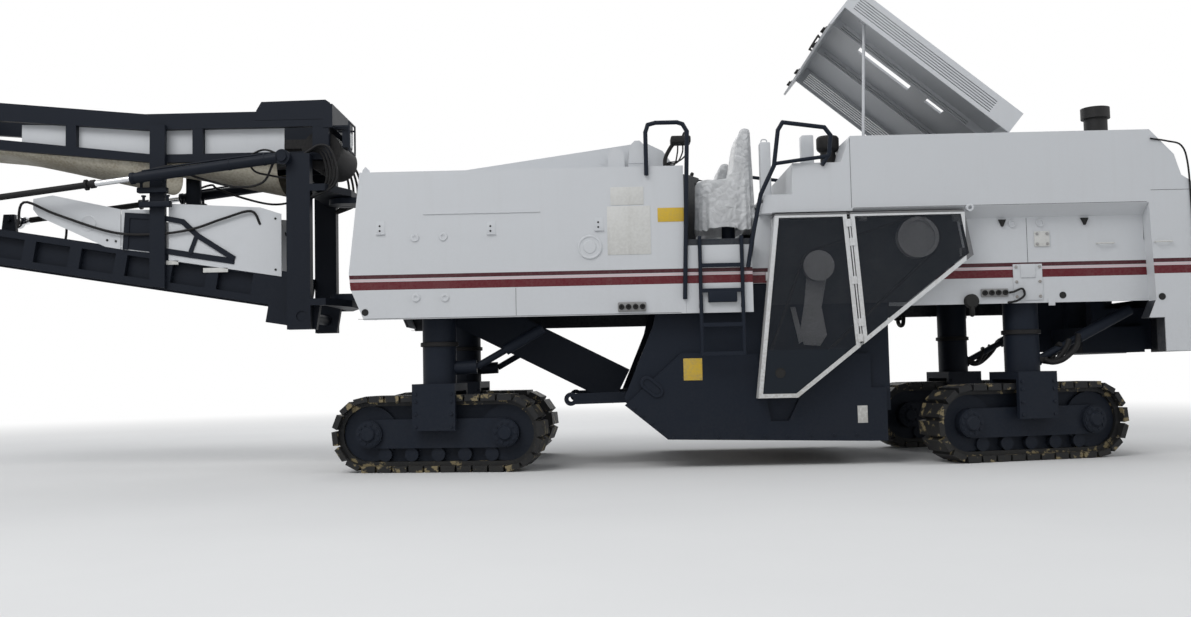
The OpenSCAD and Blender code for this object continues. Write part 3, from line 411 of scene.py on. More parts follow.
# Blue-black chassis paint
# Frame, legs, housings and booms are sprayed in a satin blue-black that has gone dusty near the road.
legs = ("fl", "fr", "rl", "rr")
chassis_ink = painted("chassis_ink", (0.0105, 0.0145, 0.0235), (0.055, 0.054, 0.052), amount=0.13, reach=1.3,
                      streaks=0.02, gloss=0.42, share=0.006, bump=0.1, mirror=0.12)
boom_ink = painted("boom_ink", (0.0095, 0.0125, 0.0195), (0.05, 0.048, 0.045), amount=0.08, reach=4.0,
                   streaks=0.02, gloss=0.38, share=0.006, bump=0.1, mirror=0.12)
dress(chassis_ink, "main_frame", "leg_guides", "ladder", "handrails", "drum_housing", "side_plate_left",
      "side_plate_right", "scraper", "gradation_arm", "primary_conveyor")
dress(boom_ink, "slew_yoke", "lower_boom", "upper_boom", "lift_barrels", "head_lamp")
for leg in legs:
    dress(chassis_ink, "column_" + leg, "track_frame_" + leg)


# Track shoes
# Forged steel shoes with rubbed edges; brown earth and rust lie on them.
shoe_steel = painted("shoe_steel", (0.011, 0.012, 0.014), (0.10, 0.085, 0.055), amount=0.09, reach=1.1,
                     streaks=0.05, gloss=0.45, share=0.25, bare=(0.21, 0.17, 0.095), bump=0.4, size=11.0,
                     mirror=0.25)
dress(shoe_steel, *("track_" + leg for leg in legs))


# Rubber belts
# Flat fabric-cored rubber, matt black and greyed by stone dust.
belt_rubber = painted("belt_rubber", (0.010, 0.010, 0.011), (0.09, 0.085, 0.08), amount=0.5, reach=4.0,
                      streaks=0.06, gloss=0.6, bump=0.3, mirror=0.2)
dress(belt_rubber, "drive_belt", "lower_belt", "upper_belt")


# Bare and cast metal
# Cast iron pulleys and engine castings, turned faces left bare; the drum is worn and lightly rusted.
pulley_iron = painted("pulley_iron", (0.42, 0.42, 0.43), (0.16, 0.13, 0.1), amount=0.5, reach=2.5, gloss=0.35,
                      share=0.04, bump=0.2)
dress(pulley_iron, "engine_pulley", "idler_pulley", "drum_pulley")
engine_iron = painted("engine_iron", (0.10, 0.105, 0.11), (0.12, 0.1, 0.075), amount=0.7, reach=3.2,
                      streaks=0.3, gloss=0.45, share=0.05, bump=0.3)
dress(engine_iron, "engine", "radiator")
drum_iron = painted("drum_iron", (0.09, 0.06, 0.04), (0.2, 0.14, 0.08), amount=0.9, reach=1.6, streaks=0.4,
                    gloss=0.55, share=0.12, bare=(0.3, 0.28, 0.26), bump=0.5)
dress(drum_iron, "milling_drum")
stack_black = painted("stack_black", (0.009, 0.009, 0.010), (0.10, 0.08, 0.06), amount=0.10, reach=5.0,
                      streaks=0.15, gloss=0.5, share=0.03, bare=(0.07, 0.045, 0.03), bump=0.25, mirror=0.3)
dress(stack_black, "exhaust_stack")
rod_chrome, chrome_tree, chrome_shader = finish("rod_chrome", 0.12, 1.0)
chrome_film = node(chrome_tree, "TexNoise", (-500, 0), Scale=60.0, Detail=4.0)
chrome_place = node(chrome_tree, "TexCoord", (-700, 0))
wire(chrome_tree, chrome_place, "Object", chrome_film, "Vector")
chrome_rough = node(chrome_tree, "MapRange", (-250, 0), To_Min=0.06, To_Max=0.26)
wire(chrome_tree, chrome_film, "Fac", chrome_rough, "Value")
wire(chrome_tree, chrome_rough, "Result", chrome_shader, "Roughness")
chrome_shader.inputs["Base Color"].default_value = (0.72, 0.73, 0.75, 1)
dress(rod_chrome, "lift_rods")


# Guard paint
# The belt guard's folded frame is sprayed white and its panels are fine expanded mesh in dark grey.
# The frame's top edge and its rear edge are left in the dark grey of the mesh.
guard_paint = (0.66, 0.67, 0.68)
guard_white = painted("guard_white", guard_paint, (0.3, 0.27, 0.22), amount=0.6, reach=2.4, share=0.02,
                      bare=(0.15, 0.12, 0.1), bump=0.08, coat=0.2)
guard_tree = guard_white.node_tree
guard_parts = object_axes(guard_tree, -1400, 300)[1]
guard_top = sum_node(guard_tree, "GREATER_THAN", (guard_parts, "Z"), 1.955, (-1050, 400))
guard_rear = sum_node(guard_tree, "LESS_THAN", (guard_parts, "X"), -3.645, (-1050, 200))
guard_edge = sum_node(guard_tree, "MAXIMUM", guard_top, guard_rear, (-900, 300))
guard_tone = blended(guard_tree, guard_edge, guard_paint, (0.10, 0.105, 0.115), (-750, 300))
feed(guard_tree, guard_tone, dust_film(guard_tree), "Clean")
dress(guard_white, "belt_guard", "guard_door")


# Belt guard mesh
# Flat panels of fine expanded mesh lie behind the frame's windows; the door's panel swings with the door.
def at_drum(x=0.0):
    """The machine's X at x metres ahead of the drum's axis. New pieces are given by that distance."""
    return x - 2.18


def shrunk(corners, inset):
    """A convex outline with each side moved inwards by inset; its corners are where neighbours cross."""
    a = np.array(corners, float)
    along = np.roll(a, -1, axis=0) - a
    along /= np.linalg.norm(along, axis=1)[:, None]
    middle = a.mean(axis=0)
    inward = np.stack([-along[:, 1], along[:, 0]], axis=1)
    inward *= np.sign(((middle - a) * inward).sum(axis=1))[:, None]
    start = a + inward * inset
    before, behind = np.roll(start, 1, axis=0), np.roll(along, 1, axis=0)
    gap = start - before
    lean = behind[:, 0] * along[:, 1] - behind[:, 1] * along[:, 0]
    step = (gap[:, 0] * along[:, 1] - gap[:, 1] * along[:, 0]) / lean
    return before + behind * step[:, None]


def slab(outline, y0, y1, start=at_drum()):
    """A flat outline in X, counted from start, and Z, carried along Y: two rings of points."""
    x, z = np.array(outline, float).T
    return np.stack([np.stack([x + start, np.full(len(x), y), z], axis=1) for y in (y0, y1)])


def piece(name, grids, made, body, replaces=(), smooth=0.6):
    """One object from several grids of points; its faces are turned outwards and it rides on a body. A grid's
    rows close on themselves and its ends are filled, unless it is given as (points, around, ends). Edges
    sharper than the angle smooth stay sharp."""
    built = bmesh.new()
    for grid in grids:
        points, around, ends = grid if isinstance(grid, tuple) else (grid, True, True)
        part = surface("part", np.asarray(points, float), around, ends)
        built.from_mesh(part)
        bpy.data.meshes.remove(part)
    bmesh.ops.remove_doubles(built, verts=built.verts, dist=1e-6)
    bmesh.ops.recalc_face_normals(built, faces=built.faces)
    mesh = bpy.data.meshes.new(name)
    built.to_mesh(mesh)
    built.free()
    if smooth:
        mesh.shade_smooth()
        mesh.set_sharp_from_angle(angle=smooth)
    mesh.materials.append(made)
    made_object = placed(name, mesh)
    if replaces:
        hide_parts(*replaces)
    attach(made_object, body)
    return made_object


mesh_pitch = 0.012
expanded_mesh, mesh_tree, mesh_shader = finish("expanded_mesh", 0.5)
mesh_place, mesh_parts = object_axes(mesh_tree, -1400, 0)
waves = []
for axis, up in (("X", 100), ("Z", -100)):
    wave = sum_node(mesh_tree, "MULTIPLY", (mesh_parts, axis), 2 * math.pi / mesh_pitch, (-1000, up))
    waves.append(sum_node(mesh_tree, "SINE", wave, 0.0, (-850, up)))
mesh_wave = sum_node(mesh_tree, "MULTIPLY", *waves, (-700, 0))
mesh_wave = sum_node(mesh_tree, "ABSOLUTE", mesh_wave, 0.0, (-550, 0))
mesh_wave = sum_node(mesh_tree, "LESS_THAN", mesh_wave, 0.29, (-400, 0))
closed_below = sum_node(mesh_tree, "LESS_THAN", (mesh_parts, "Z"), 0.905, (-550, -200))
mesh_wave = sum_node(mesh_tree, "MAXIMUM", mesh_wave, closed_below, (-250, 0))
wire(mesh_tree, mesh_wave, 0, mesh_shader, "Alpha")
mesh_noise = node(mesh_tree, "TexNoise", (-700, 300), Scale=9.0, Detail=4.0)
wire(mesh_tree, mesh_place, "Object", mesh_noise, "Vector")
mesh_tone = two_tone(mesh_tree, (mesh_noise, "Fac"), (0.018, 0.023, 0.032), (0.040, 0.044, 0.052),
                     (-450, 300))
mesh_tone = blended(mesh_tree, closed_below, (mesh_tone, "Color"), (0.010, 0.014, 0.020), (-200, 300))
feed(mesh_tree, mesh_tone, mesh_shader, "Base Color")
mesh_shader.inputs["Specular IOR Level"].default_value = 0.15

guard_rim = 0.0225                    # how far the panels lie inside the frame's outline
guard_layer = (1.2388, 1.2412)        # the panels' two faces, from the middle
front_window = [(-0.544, 1.970), (0.013, 1.970), (0.184, 0.536), (-0.123, 0.536), (-0.619, 0.920)]
rear_window = [(-0.572, 1.971), (-1.461, 1.972), (-1.521, 1.617), (-0.646, 0.940)]
for panel_name, window, body_name, old in (("guard_mesh_fine", front_window, "chassis", "guard_mesh"),
                                           ("door_mesh_fine", rear_window, "guard_door", "door_mesh")):
    piece(panel_name, [slab(shrunk(window, guard_rim), *guard_layer)], expanded_mesh, body_name, (old,),
          smooth=0)


# Guard's back sheet of painted shade, and the housing's apron
# A dark sheet behind the mesh is painted shade in the belt bay; the cast belt tensioner lies behind the mesh
# too, and a plate closes the milling unit's notch.
# Painted shade: this dark grey sheet stands in for the shade behind the guard's mesh.
back_sheet = shrunk([(0.013, 1.970), (-1.461, 1.972), (-1.521, 1.617), (-1.040, 1.245), (0.0995, 1.245)],
                    0.022)
shade_sheet_grey = painted("shade_sheet_grey", (0.040, 0.045, 0.052), (0.12, 0.11, 0.10), amount=0.4, reach=3.0,
                    streaks=0.1, gloss=0.5, mirror=0.2)
piece("guard_shade_sheet", [slab(back_sheet, 1.0885, 1.0925)], shade_sheet_grey, "chassis", smooth=0)
tension_arm = [(-0.405, 1.52), (-0.245, 1.52), (-0.215, 1.27), (-0.175, 1.05), (-0.205, 0.945),
               (-0.330, 0.935), (-0.385, 1.02), (-0.350, 1.24)]
tension_bar = [(-0.145, 1.245), (-0.105, 1.245), (-0.165, 0.955), (-0.200, 0.975)]
piece("belt_tensioner", [slab(tension_arm, 1.1125, 1.130), slab(tension_bar, 1.1125, 1.122)], pulley_iron,
      "chassis")
apron = [(-0.125, 0.345), (0.125, 0.345), (0.135, 0.510), (-0.175, 0.510)]
tension_boss = [(-0.385, 1.38), (-0.265, 1.38), (-0.265, 1.50), (-0.385, 1.50)]
piece("tensioner_boss", [slab(tension_boss, 1.0924, 1.1126)], pulley_iron, "chassis")
piece("notch_apron", [slab(apron, 1.045, 1.070)], chassis_ink, "chassis", smooth=0)


# Round fittings on the body's sides
# Ring caps over lifting eyes, a pressed round cover, and the dark holes that the transport hooks go into.
def turned(profile, sides=28):
    """A turned shape: each profile row is (radius, height) and gives one ring about +Z."""
    turn = np.linspace(0, 2 * math.pi, sides, endpoint=False)
    r, h = np.array(profile, float).T
    return np.stack([np.outer(r, np.cos(turn)), np.outer(r, np.sin(turn)), np.repeat(h[:, None], sides, 1)],
                    axis=-1)


def boss(profile, place, way, sides=28, start=at_drum()):
    """A turned shape whose +Z looks along way, x, y or z with a sign, at a place with its X from start."""
    sign = -1.0 if way[0] == "-" else 1.0
    x, y, z = np.moveaxis(turned(profile, sides), -1, 0)
    laid = {"x": (z * sign, x, y), "y": (x, z * sign, y), "z": (x, y, z * sign)}[way[-1]]
    return np.stack(laid, axis=-1) + np.array(place, float) + (start, 0, 0)


body_wall, housing_wall = 1.21, 1.09        # the outer faces of the side walls, from the middle
both_sides = ((1, "y"), (-1, "-y"))
cap_ring = [(0.034, -0.002), (0.034, 0.006), (0.030, 0.010), (0.016, 0.010), (0.013, 0.004), (0.0005, 0.004)]
wide_ring = [(0.096, -0.002), (0.096, 0.006), (0.090, 0.011), (0.082, 0.011), (0.076, 0.005), (0.052, 0.005),
             (0.047, 0.011), (0.0005, 0.012)]
hole_rim = [(0.027, -0.002), (0.027, 0.003), (0.022, 0.003), (0.021, 0.0012), (0.0005, 0.0012)]
ring_caps = [boss(cap_ring, (x, sign * body_wall, z), way) for sign, way in both_sides
             for x, z in ((2.839, 1.850), (2.616, 1.853), (2.835, 1.377), (2.608, 1.373))]
ring_caps += [boss(wide_ring, (1.465, sign * body_wall, 1.745), way, 48) for sign, way in both_sides]
piece("ring_caps", ring_caps, body_white, "chassis")
hole_black = painted("hole_black", (0.004, 0.004, 0.004), (0.03, 0.028, 0.025), amount=0.2, gloss=0.7)
dark_holes = [boss(hole_rim, (x, sign * y, z), way) for sign, way in both_sides
              for x, y, z in ((3.235, body_wall, 1.269), (-2.263, housing_wall, 1.296),
                              (-2.985, body_wall, 1.262))]
piece("transport_holes", dark_holes, hole_black, "chassis")


# Sockets, handles and cover plates on the sides
# Cast socket boxes with four round plugs, bent bar handles, and blank plates riveted over the panels.
def rounded(lo, hi, r, steps=3):
    """A box with round edges: directions over a ball, each moved out to the box's corner on its side."""
    lo, hi = np.array(lo, float), np.array(hi, float)
    r = min(r, 0.499 * float((hi - lo).min()))
    quarter = np.linspace(0, math.pi / 2, steps + 1)
    turn = np.concatenate([k * math.pi / 2 + quarter for k in range(4)])
    lift = np.concatenate([-quarter[::-1], quarter])
    sx = np.repeat([1, -1, -1, 1], steps + 1)
    sy = np.repeat([1, 1, -1, -1], steps + 1)
    sz = np.repeat([-1, 1], steps + 1)
    half = (hi - lo) / 2 - r
    x = sx[None, :] * half[0] + r * np.outer(np.cos(lift), np.cos(turn))
    y = sy[None, :] * half[1] + r * np.outer(np.cos(lift), np.sin(turn))
    z = np.repeat((sz * half[2] + r * np.sin(lift))[:, None], len(turn), 1)
    return np.stack([x, y, z], axis=-1) + (lo + hi) / 2


def block(x0, x1, y0, y1, z0, z1, r):
    """A rounded box between two places along each axis."""
    return rounded((at_drum(x0), min(y0, y1), z0), (at_drum(x1), max(y0, y1), z1), r)


def side_box(x0, x1, z0, z1, y, thick, r, sign=1):
    """A rounded box that lies on a side wall at y and stands out by thick, on the left (1) or right (-1)."""
    return block(x0, x1, sign * (y - 0.002), sign * (y + thick), z0, z1, r)


def bent(route, radius, sides=12, ref=(0.0, 1.0, 0.0), start=at_drum()):
    """A round bar or hose along a smooth line through the route's points (Catmull-Rom), ring by ring, its X
    counted from start. Each ring lies square to the line; its first direction is the cross product of the
    line with ref."""
    per = 6        # rings to each part of the route
    p = np.array(route, float)
    ends = np.vstack([2 * p[0] - p[1], p, 2 * p[-1] - p[-2]])
    t = np.linspace(0, 1, per, endpoint=False)[None, :, None]
    a, b, c, d = (ends[k:len(ends) - 3 + k, None, :] for k in range(4))
    square, cube = 2 * a - 5 * b + 4 * c - d, 3 * b - a - 3 * c + d
    line = 0.5 * (2 * b + (c - a) * t + square * t ** 2 + cube * t ** 3)
    line = np.vstack([line.reshape(-1, 3), p[-1]])
    ahead = np.gradient(line, axis=0)
    ahead /= np.linalg.norm(ahead, axis=1)[:, None]
    first = np.cross(ahead, ref)
    first /= np.linalg.norm(first, axis=1)[:, None]
    second = np.cross(ahead, first)
    turn = np.linspace(0, 2 * math.pi, sides, endpoint=False)[None, :, None]
    ring = first[:, None] * np.cos(turn) + second[:, None] * np.sin(turn)
    return line[:, None] + ring * radius + (start, 0, 0)


def in_plane(y, *places):
    """A route that stays at one y, from its places in X and Z."""
    return [(x, y, z) for x, z in places]


socket_grey = painted("socket_grey", (0.25, 0.255, 0.26), (0.2, 0.18, 0.15), amount=0.6, reach=3.0,
                      gloss=0.45)
plug = [(0.022, -0.002), (0.022, 0.012), (0.018, 0.016), (0.012, 0.016), (0.011, 0.006), (0.0005, 0.006)]
handle = [(-0.060, -0.002), (-0.060, 0.016), (-0.054, 0.027), (0.054, 0.027), (0.060, 0.016), (0.060, -0.002)]
sockets, plugs, handles = [], [], []
for sign, way in both_sides:
    for x0, x1, z0, z1, y in ((1.035, 1.255, 1.232, 1.306, body_wall),
                              (-1.830, -1.615, 1.292, 1.358, housing_wall)):
        sockets.append(side_box(x0, x1, z0, z1, y, 0.022, 0.008, sign))
        plugs += [boss(plug, (x0 + (x1 - x0) * (k + 0.5) / 4, sign * (y + 0.021), (z0 + z1) / 2), way, 20)
                  for k in range(4)]
    for x, y, z in ((-2.610, housing_wall, 1.70), (-3.010, body_wall, 1.69)):
        route = [(x + dx, sign * (y + out), z) for dx, out in handle]
        handles.append(bent(route, 0.006, ref=(0, 0, 1.0)))
piece("socket_boxes", sockets, socket_grey, "chassis")
piece("socket_plugs", plugs, hole_black, "chassis")

plate_white = painted("plate_white", (0.62, 0.62, 0.60), (0.3, 0.28, 0.25), amount=0.5, reach=3.0, gloss=0.4,
                      bump=0.05)
thin_plate = (0.003, 0.0012)        # how far it stands out, and the radius of its edges
blank_plates = [side_box(1.035, 1.295, 2.072, 2.214, body_wall, *thin_plate),
                side_box(0.985, 1.325, 1.68, 2.062, body_wall, *thin_plate)]
blank_plates += [side_box(-2.175, -2.055, 1.685, 1.806, housing_wall, 0.010, 0.003, sign) for sign in (1, -1)]
piece("blank_plates", blank_plates, plate_white, "chassis")
piece("panel_handles", handles, plate_white, "chassis")
plate_yellow = painted("plate_yellow", (0.62, 0.40, 0.012), (0.3, 0.25, 0.15), amount=0.7, reach=3.0,
                       gloss=0.4, share=0.02, bare=(0.5, 0.48, 0.4), bump=0.05)
piece("blank_sign_body", [side_box(0.722, 0.928, 1.932, 2.042, body_wall, *thin_plate)], plate_yellow,
      "chassis")
bolt = [(0.013, -0.001), (0.013, 0.007), (0.010, 0.009), (0.0005, 0.009)]
bolt_steel = painted("bolt_steel", (0.35, 0.35, 0.35), (0.2, 0.16, 0.11), amount=0.8, reach=3.0, gloss=0.4)
bracket_face = housing_wall + 0.009
bolt_rows = (((-2.155, -2.075), (1.705, 1.786)), ((-2.084, -1.899), (1.290, 1.408, 1.526)))
plate_bolts = [boss(bolt, (x, sign * bracket_face, z), way, 6)
               for across, heights in bolt_rows for x in across for z in heights for sign, way in both_sides]
piece("plate_bolts", plate_bolts, bolt_steel, "chassis")
brackets = ((-2.106, -1.877, 1.262, 1.548, housing_wall, 0.009, 0.003),
            (-2.050, -1.935, 1.440, 1.548, bracket_face, 0.008, 0.003),
            (-2.199, -2.148, 1.216, 1.268, housing_wall, 0.006, 0.002))
piece("line_brackets", [side_box(*bracket, sign) for bracket in brackets for sign in (1, -1)], body_white,
      "chassis")


# Fittings under the housing's ledge
# Black rubber stops, a cable loop at the socket box, a small motor with its hose, and welded ring eyes.
ledge_ring = [(0.030, -0.001), (0.030, 0.012), (0.022, 0.012), (0.020, 0.004), (0.0005, 0.004)]
spool = [(0.030, -0.002), (0.052, 0.0), (0.056, 0.010), (0.056, 0.045), (0.046, 0.056), (0.0005, 0.060)]
hinge_cap = [(0.030, -0.002), (0.030, 0.026), (0.026, 0.029), (0.017, 0.029), (0.014, 0.024), (0.014, 0.006),
             (0.0005, 0.006)]
cable_loop = [(-1.84, 1.098, 1.325), (-1.87, 1.118, 1.330), (-1.935, 1.120, 1.352), (-1.95, 1.120, 1.300),
              (-1.90, 1.118, 1.262), (-1.86, 1.112, 1.250), (-1.83, 1.085, 1.247)]
spool_hose = [(-1.532, 1.125, 1.240), (-1.535, 1.122, 1.190), (-1.545, 1.085, 1.160), (-1.560, 1.040, 1.175),
              (-1.565, 1.030, 1.260)]
ledge_parts, ledge_rings = [], []
for sign, way in both_sides:
    for x in (-1.805, -2.456):
        wedge = [(x - 0.030, 1.905), (x + 0.030, 1.905), (x + 0.006, 1.850), (x - 0.006, 1.850)]
        ledge_parts.append(slab(wedge, sign * 1.089, sign * 1.108))
    ledge_rings += [boss(ledge_ring, (x, sign * housing_wall, 1.872), way, 24) for x in (-1.885, -2.105)]
    ledge_parts += [bent([(x, sign * y, z) for x, y, z in cable_loop], 0.009, ref=(0, 0.3, 1.0)),
                    boss(spool, (-1.532, sign * housing_wall, 1.262), way, 36),
                    bent([(x, sign * y, z) for x, y, z in spool_hose], 0.020)]
ledge_rings.append(boss(hinge_cap, (-1.512, body_wall, 1.988), "y", 32))
piece("ledge_fittings", ledge_parts, hole_black, "chassis")
piece("ledge_rings", ledge_rings, body_white, "chassis")


# Panel seams, corner strips and lifting eyes
# Narrow dark joints part the folded side sheets; strips close the rear corners, and eyes are welded on.
seam_black = painted("seam_black", (0.03, 0.03, 0.032), (0.1, 0.1, 0.09), gloss=0.7)
seams = [side_box(x0, x1, z0, z1, y, 0.0012, 0.0005, sign) for sign in (1, -1) for x0, x1, z0, z1, y in (
    (0.760, 3.290, 1.2155, 1.2185, body_wall), (2.050, 2.053, 1.222, 1.438, body_wall),
    (-3.330, -2.935, 2.098, 2.101, body_wall), (-2.900, -0.610, 2.008, 2.011, body_wall),
    (-0.596, -0.593, 2.011, 2.560, body_wall), (-2.0, -1.997, 1.445, 1.915, housing_wall))]
piece("panel_seams", seams, seam_black, "chassis")
corner_strip = [(-2.948, 1.2405), (-2.914, 1.2405), (-2.914, 1.720), (-2.929, 1.720)]
piece("corner_strips", [slab(corner_strip, sign * 1.0705, sign * 1.0895) for sign in (1, -1)],
      housing_striped, "chassis", smooth=0)
eye = np.array([(-0.07, -0.02), (0.07, -0.02), (0.06, 0.12), (0.02, 0.16), (-0.02, 0.16), (-0.06, 0.12)])
front_lug = [(3.262, 2.335), (3.190, 2.335), (3.205, 2.405), (3.232, 2.430), (3.256, 2.400)]
lift_eyes = [slab(eye + place, y - 0.012, y + 0.012) for place in ((1.242, 2.375), (1.074, 2.43))
             for y in (-1.15, -0.93, 0.93, 1.15)]
lift_eyes += [slab(front_lug, y - 0.010, y + 0.010) for y in (-1.150, 1.150)]
piece("lift_eyes", lift_eyes, body_white, "chassis")


# Milling unit's sides
# Flame-cut plates with a blank yellow sign, a small label, a lifting hook's slot and a row of edge bolts.
plate_face = 1.1075                  # the outer faces of the side plates, from the middle
thin_sign = (0.002, 0.0008)
piece("blank_sign_side", [side_box(0.600, 0.748, 0.685, 0.858, plate_face, *thin_sign)], plate_yellow,
      "side_plate_left")
piece("blank_label_side", [side_box(-0.688, -0.610, 0.325, 0.460, plate_face, *thin_sign)], plate_white,
      "side_plate_left")


def arm_slot(x, z, length, angle, y):
    """A long hole with a raised rim: two half circles a length apart, turned by angle, on a side's face."""
    turn = np.linspace(-math.pi / 2, math.pi / 2, 12)
    spin = np.array([[math.cos(angle), math.sin(angle)], [-math.sin(angle), math.cos(angle)]])
    made = []
    for r, h in ((0.055, -0.002), (0.055, 0.010), (0.050, 0.014), (0.032, 0.014), (0.030, 0.004),
                 (0.001, 0.004)):
        end = np.stack([length / 2 + r * np.cos(turn), r * np.sin(turn)], axis=1)
        flat = np.vstack([end, -end]) @ spin + (at_drum(x), z)
        made.append(np.insert(flat, 1, y + math.copysign(1, y) * h, axis=1))
    return np.stack(made)


piece("hook_slots", [arm_slot(1.00, 0.64, 0.10, 0.7, plate_face)], chassis_ink, "side_plate_left")
piece("hook_slots_right", [arm_slot(1.00, 0.64, 0.10, 0.7, -plate_face)], chassis_ink, "side_plate_right")
edge_places = [(x, 0.235) for x in np.arange(-0.60, 0.85, 0.18)]
edge_places += [(0.93 + 0.07 * k, 0.30 + 0.058 * k) for k in range(4)]
for body_name, (sign, way) in zip(("side_plate_left", "side_plate_right"), both_sides):
    piece("edge_bolts_" + body_name, [boss(bolt, (x, sign * plate_face, z), way, 6) for x, z in edge_places],
          chassis_ink, body_name)


# Side fittings of the front body
# Pressed latch plates with screws and a drip lip, a thin ledge, the ladder's tool box, the guard's bore.
latch_rows = ((0.034, -0.050, 0.052, 0.0025, 0.001),        # half width, lower and upper edge, depth, radius
              (0.036, -0.056, -0.049, 0.014, 0.002))
latch_dot = [(0.008, 0.001), (0.008, 0.0035), (0.0005, 0.0035)]
latch_plates, latch_dots = [], []
for x, z in ((3.108, 1.934), (2.237, 1.916), (1.390, 1.928)):
    for sign, way in both_sides:
        latch_plates += [side_box(x - wide, x + wide, z + low, z + high, body_wall, depth, r, sign)
                         for wide, low, high, depth, r in latch_rows]
        latch_dots += [boss(latch_dot, (x + 0.006, sign * body_wall, z + up), way, 12)
                       for up in (0.012, -0.026)]
latch_plates += [side_box(1.85, 2.77, 2.030, 2.037, body_wall, 0.007, 0.002, sign) for sign in (1, -1)]
piece("latch_plates", latch_plates, body_white, "chassis")
guard_bore = [(0.040, -0.001), (0.040, 0.004), (0.036, 0.004), (0.034, 0.001), (0.0005, 0.001)]
piece("latch_screws", latch_dots + [boss(guard_bore, (0.007, guard_layer[1], 0.729), "y", 36)], hole_black,
      "chassis")
piece("ladder_box", [side_box(0.325, 0.550, 1.290, 1.375, 1.2115, 0.036, 0.006)], chassis_ink, "chassis")


# Operator's seats
# Two sprung seats on posts: vinyl pads with piped seams on a folded pan, and a high back.
def pad(size, crown, n=5.0, around=56):
    """A crowned closed pad about the origin, its thickness along Z: rings run from under its middle, round
    the edge with a piped seam, to the middle of the top. Each ring is a superellipse whose sides pull in
    between corners."""
    v = np.linspace(0, 2 * math.pi, around, endpoint=False)
    c, d = np.cos(v), np.sin(v)
    pull = 1 - 0.03 * (np.abs(c) ** 8 + np.abs(d) ** 8)
    x = size[0] / 2 * np.sign(c) * np.abs(c) ** (2 / n) * pull
    y = size[1] / 2 * np.sign(d) * np.abs(d) ** (2 / n) * pull
    share, rise = np.array([
        (0.02, 0), (0.5, 0), (0.9, 0.01), (0.975, 0.12), (1.0, 0.32), (0.995, 0.56), (0.985, 0.63),
        (1.012, 0.665), (1.018, 0.70), (1.006, 0.735), (0.975, 0.76), (0.955, 0.87), (0.88, 0.97),
        (0.72, 1.0), (0.5, 1.0), (0.3, 1.0), (0.02, 1.0)]).T
    top = rise > 0.9
    z = size[2] * rise + crown * np.where(top, np.clip(1 - share ** 2, 0, 1), 0)
    across = (share[:, None] * y[None] / (0.16 * size[1])) ** 2
    channel = np.where(top, 1, 0)[:, None] * 0.006 * np.exp(-(across - 1) ** 2 * 30)
    return np.stack([share[:, None] * x, share[:, None] * y, z[:, None] - size[2] / 2 - channel], axis=-1)


seat_vinyl = painted("seat_vinyl", (0.020, 0.020, 0.022), (0.12, 0.11, 0.1), amount=0.25, reach=5.0,
                     streaks=0.0, gloss=0.42, bump=0.35)
seat_post = [(0.10, 0.0), (0.10, 0.012), (0.055, 0.02), (0.052, 0.30), (0.09, 0.33), (0.09, 0.345)]
for side_name, side_y in (("left", 0.78), ("right", -0.78)):
    piece("seat_post_" + side_name,
          [boss(seat_post, (0.33, side_y, 1.790), "z", 36),
           block(0.20, 0.54, side_y - 0.20, side_y + 0.20, 2.130, 2.178, 0.018),
           block(0.152, 0.176, side_y - 0.17, side_y + 0.17, 2.20, 2.66, 0.010)], chassis_ink, "chassis")
    seat = pad((0.37, 0.43, 0.085), 0.018) + (at_drum(0.37), side_y, 2.218)
    seat_pad = piece("seat_pad_" + side_name, [seat], seat_vinyl, "chassis",
                     ("seats",) if side_name == "left" else (), smooth=1.2)
    back = pad((0.40, 0.39, 0.072), 0.016)[..., [2, 1, 0]] + (at_drum(0.212), side_y, 2.475)
    seat_back = piece("seat_back_" + side_name, [back], seat_vinyl, "chassis", smooth=1.2)


# Seat dust covers
# Thin clear film thrown over each seat: it lies on the pads, breaks over the edge and hangs in loose folds.
cover_film, film_tree, film_shader = finish("cover_film", 0.32)
film_place = node(film_tree, "TexCoord", (-1100, 0))
film_creases = node(film_tree, "TexVoronoi", (-850, -200), feature="DISTANCE_TO_EDGE", Scale=17.0)
film_wave = node(film_tree, "TexNoise", (-850, 100), Scale=9.0, Detail=5.0, Distortion=1.4)
for pattern in (film_creases, film_wave):
    wire(film_tree, film_place, "Object", pattern, "Vector")
film_height = sum_node(film_tree, "MULTIPLY_ADD", (film_creases, "Distance"), 0.8, (-600, -100))
wire(film_tree, film_wave, "Fac", film_height, 2)
bumped(film_tree, film_height, film_shader, 0.8, 0.02, (-300, -200))
film_tone = two_tone(film_tree, (film_wave, "Fac"), (0.62, 0.63, 0.64), (0.84, 0.85, 0.86), (-550, 200))
wire(film_tree, film_tone, "Color", film_shader, "Base Color")
film_clear = node(film_tree, "MapRange", (-550, 450), To_Min=0.62, To_Max=0.92)
wire(film_tree, film_wave, "Fac", film_clear, "Value")
wire(film_tree, film_clear, "Result", film_shader, "Alpha")


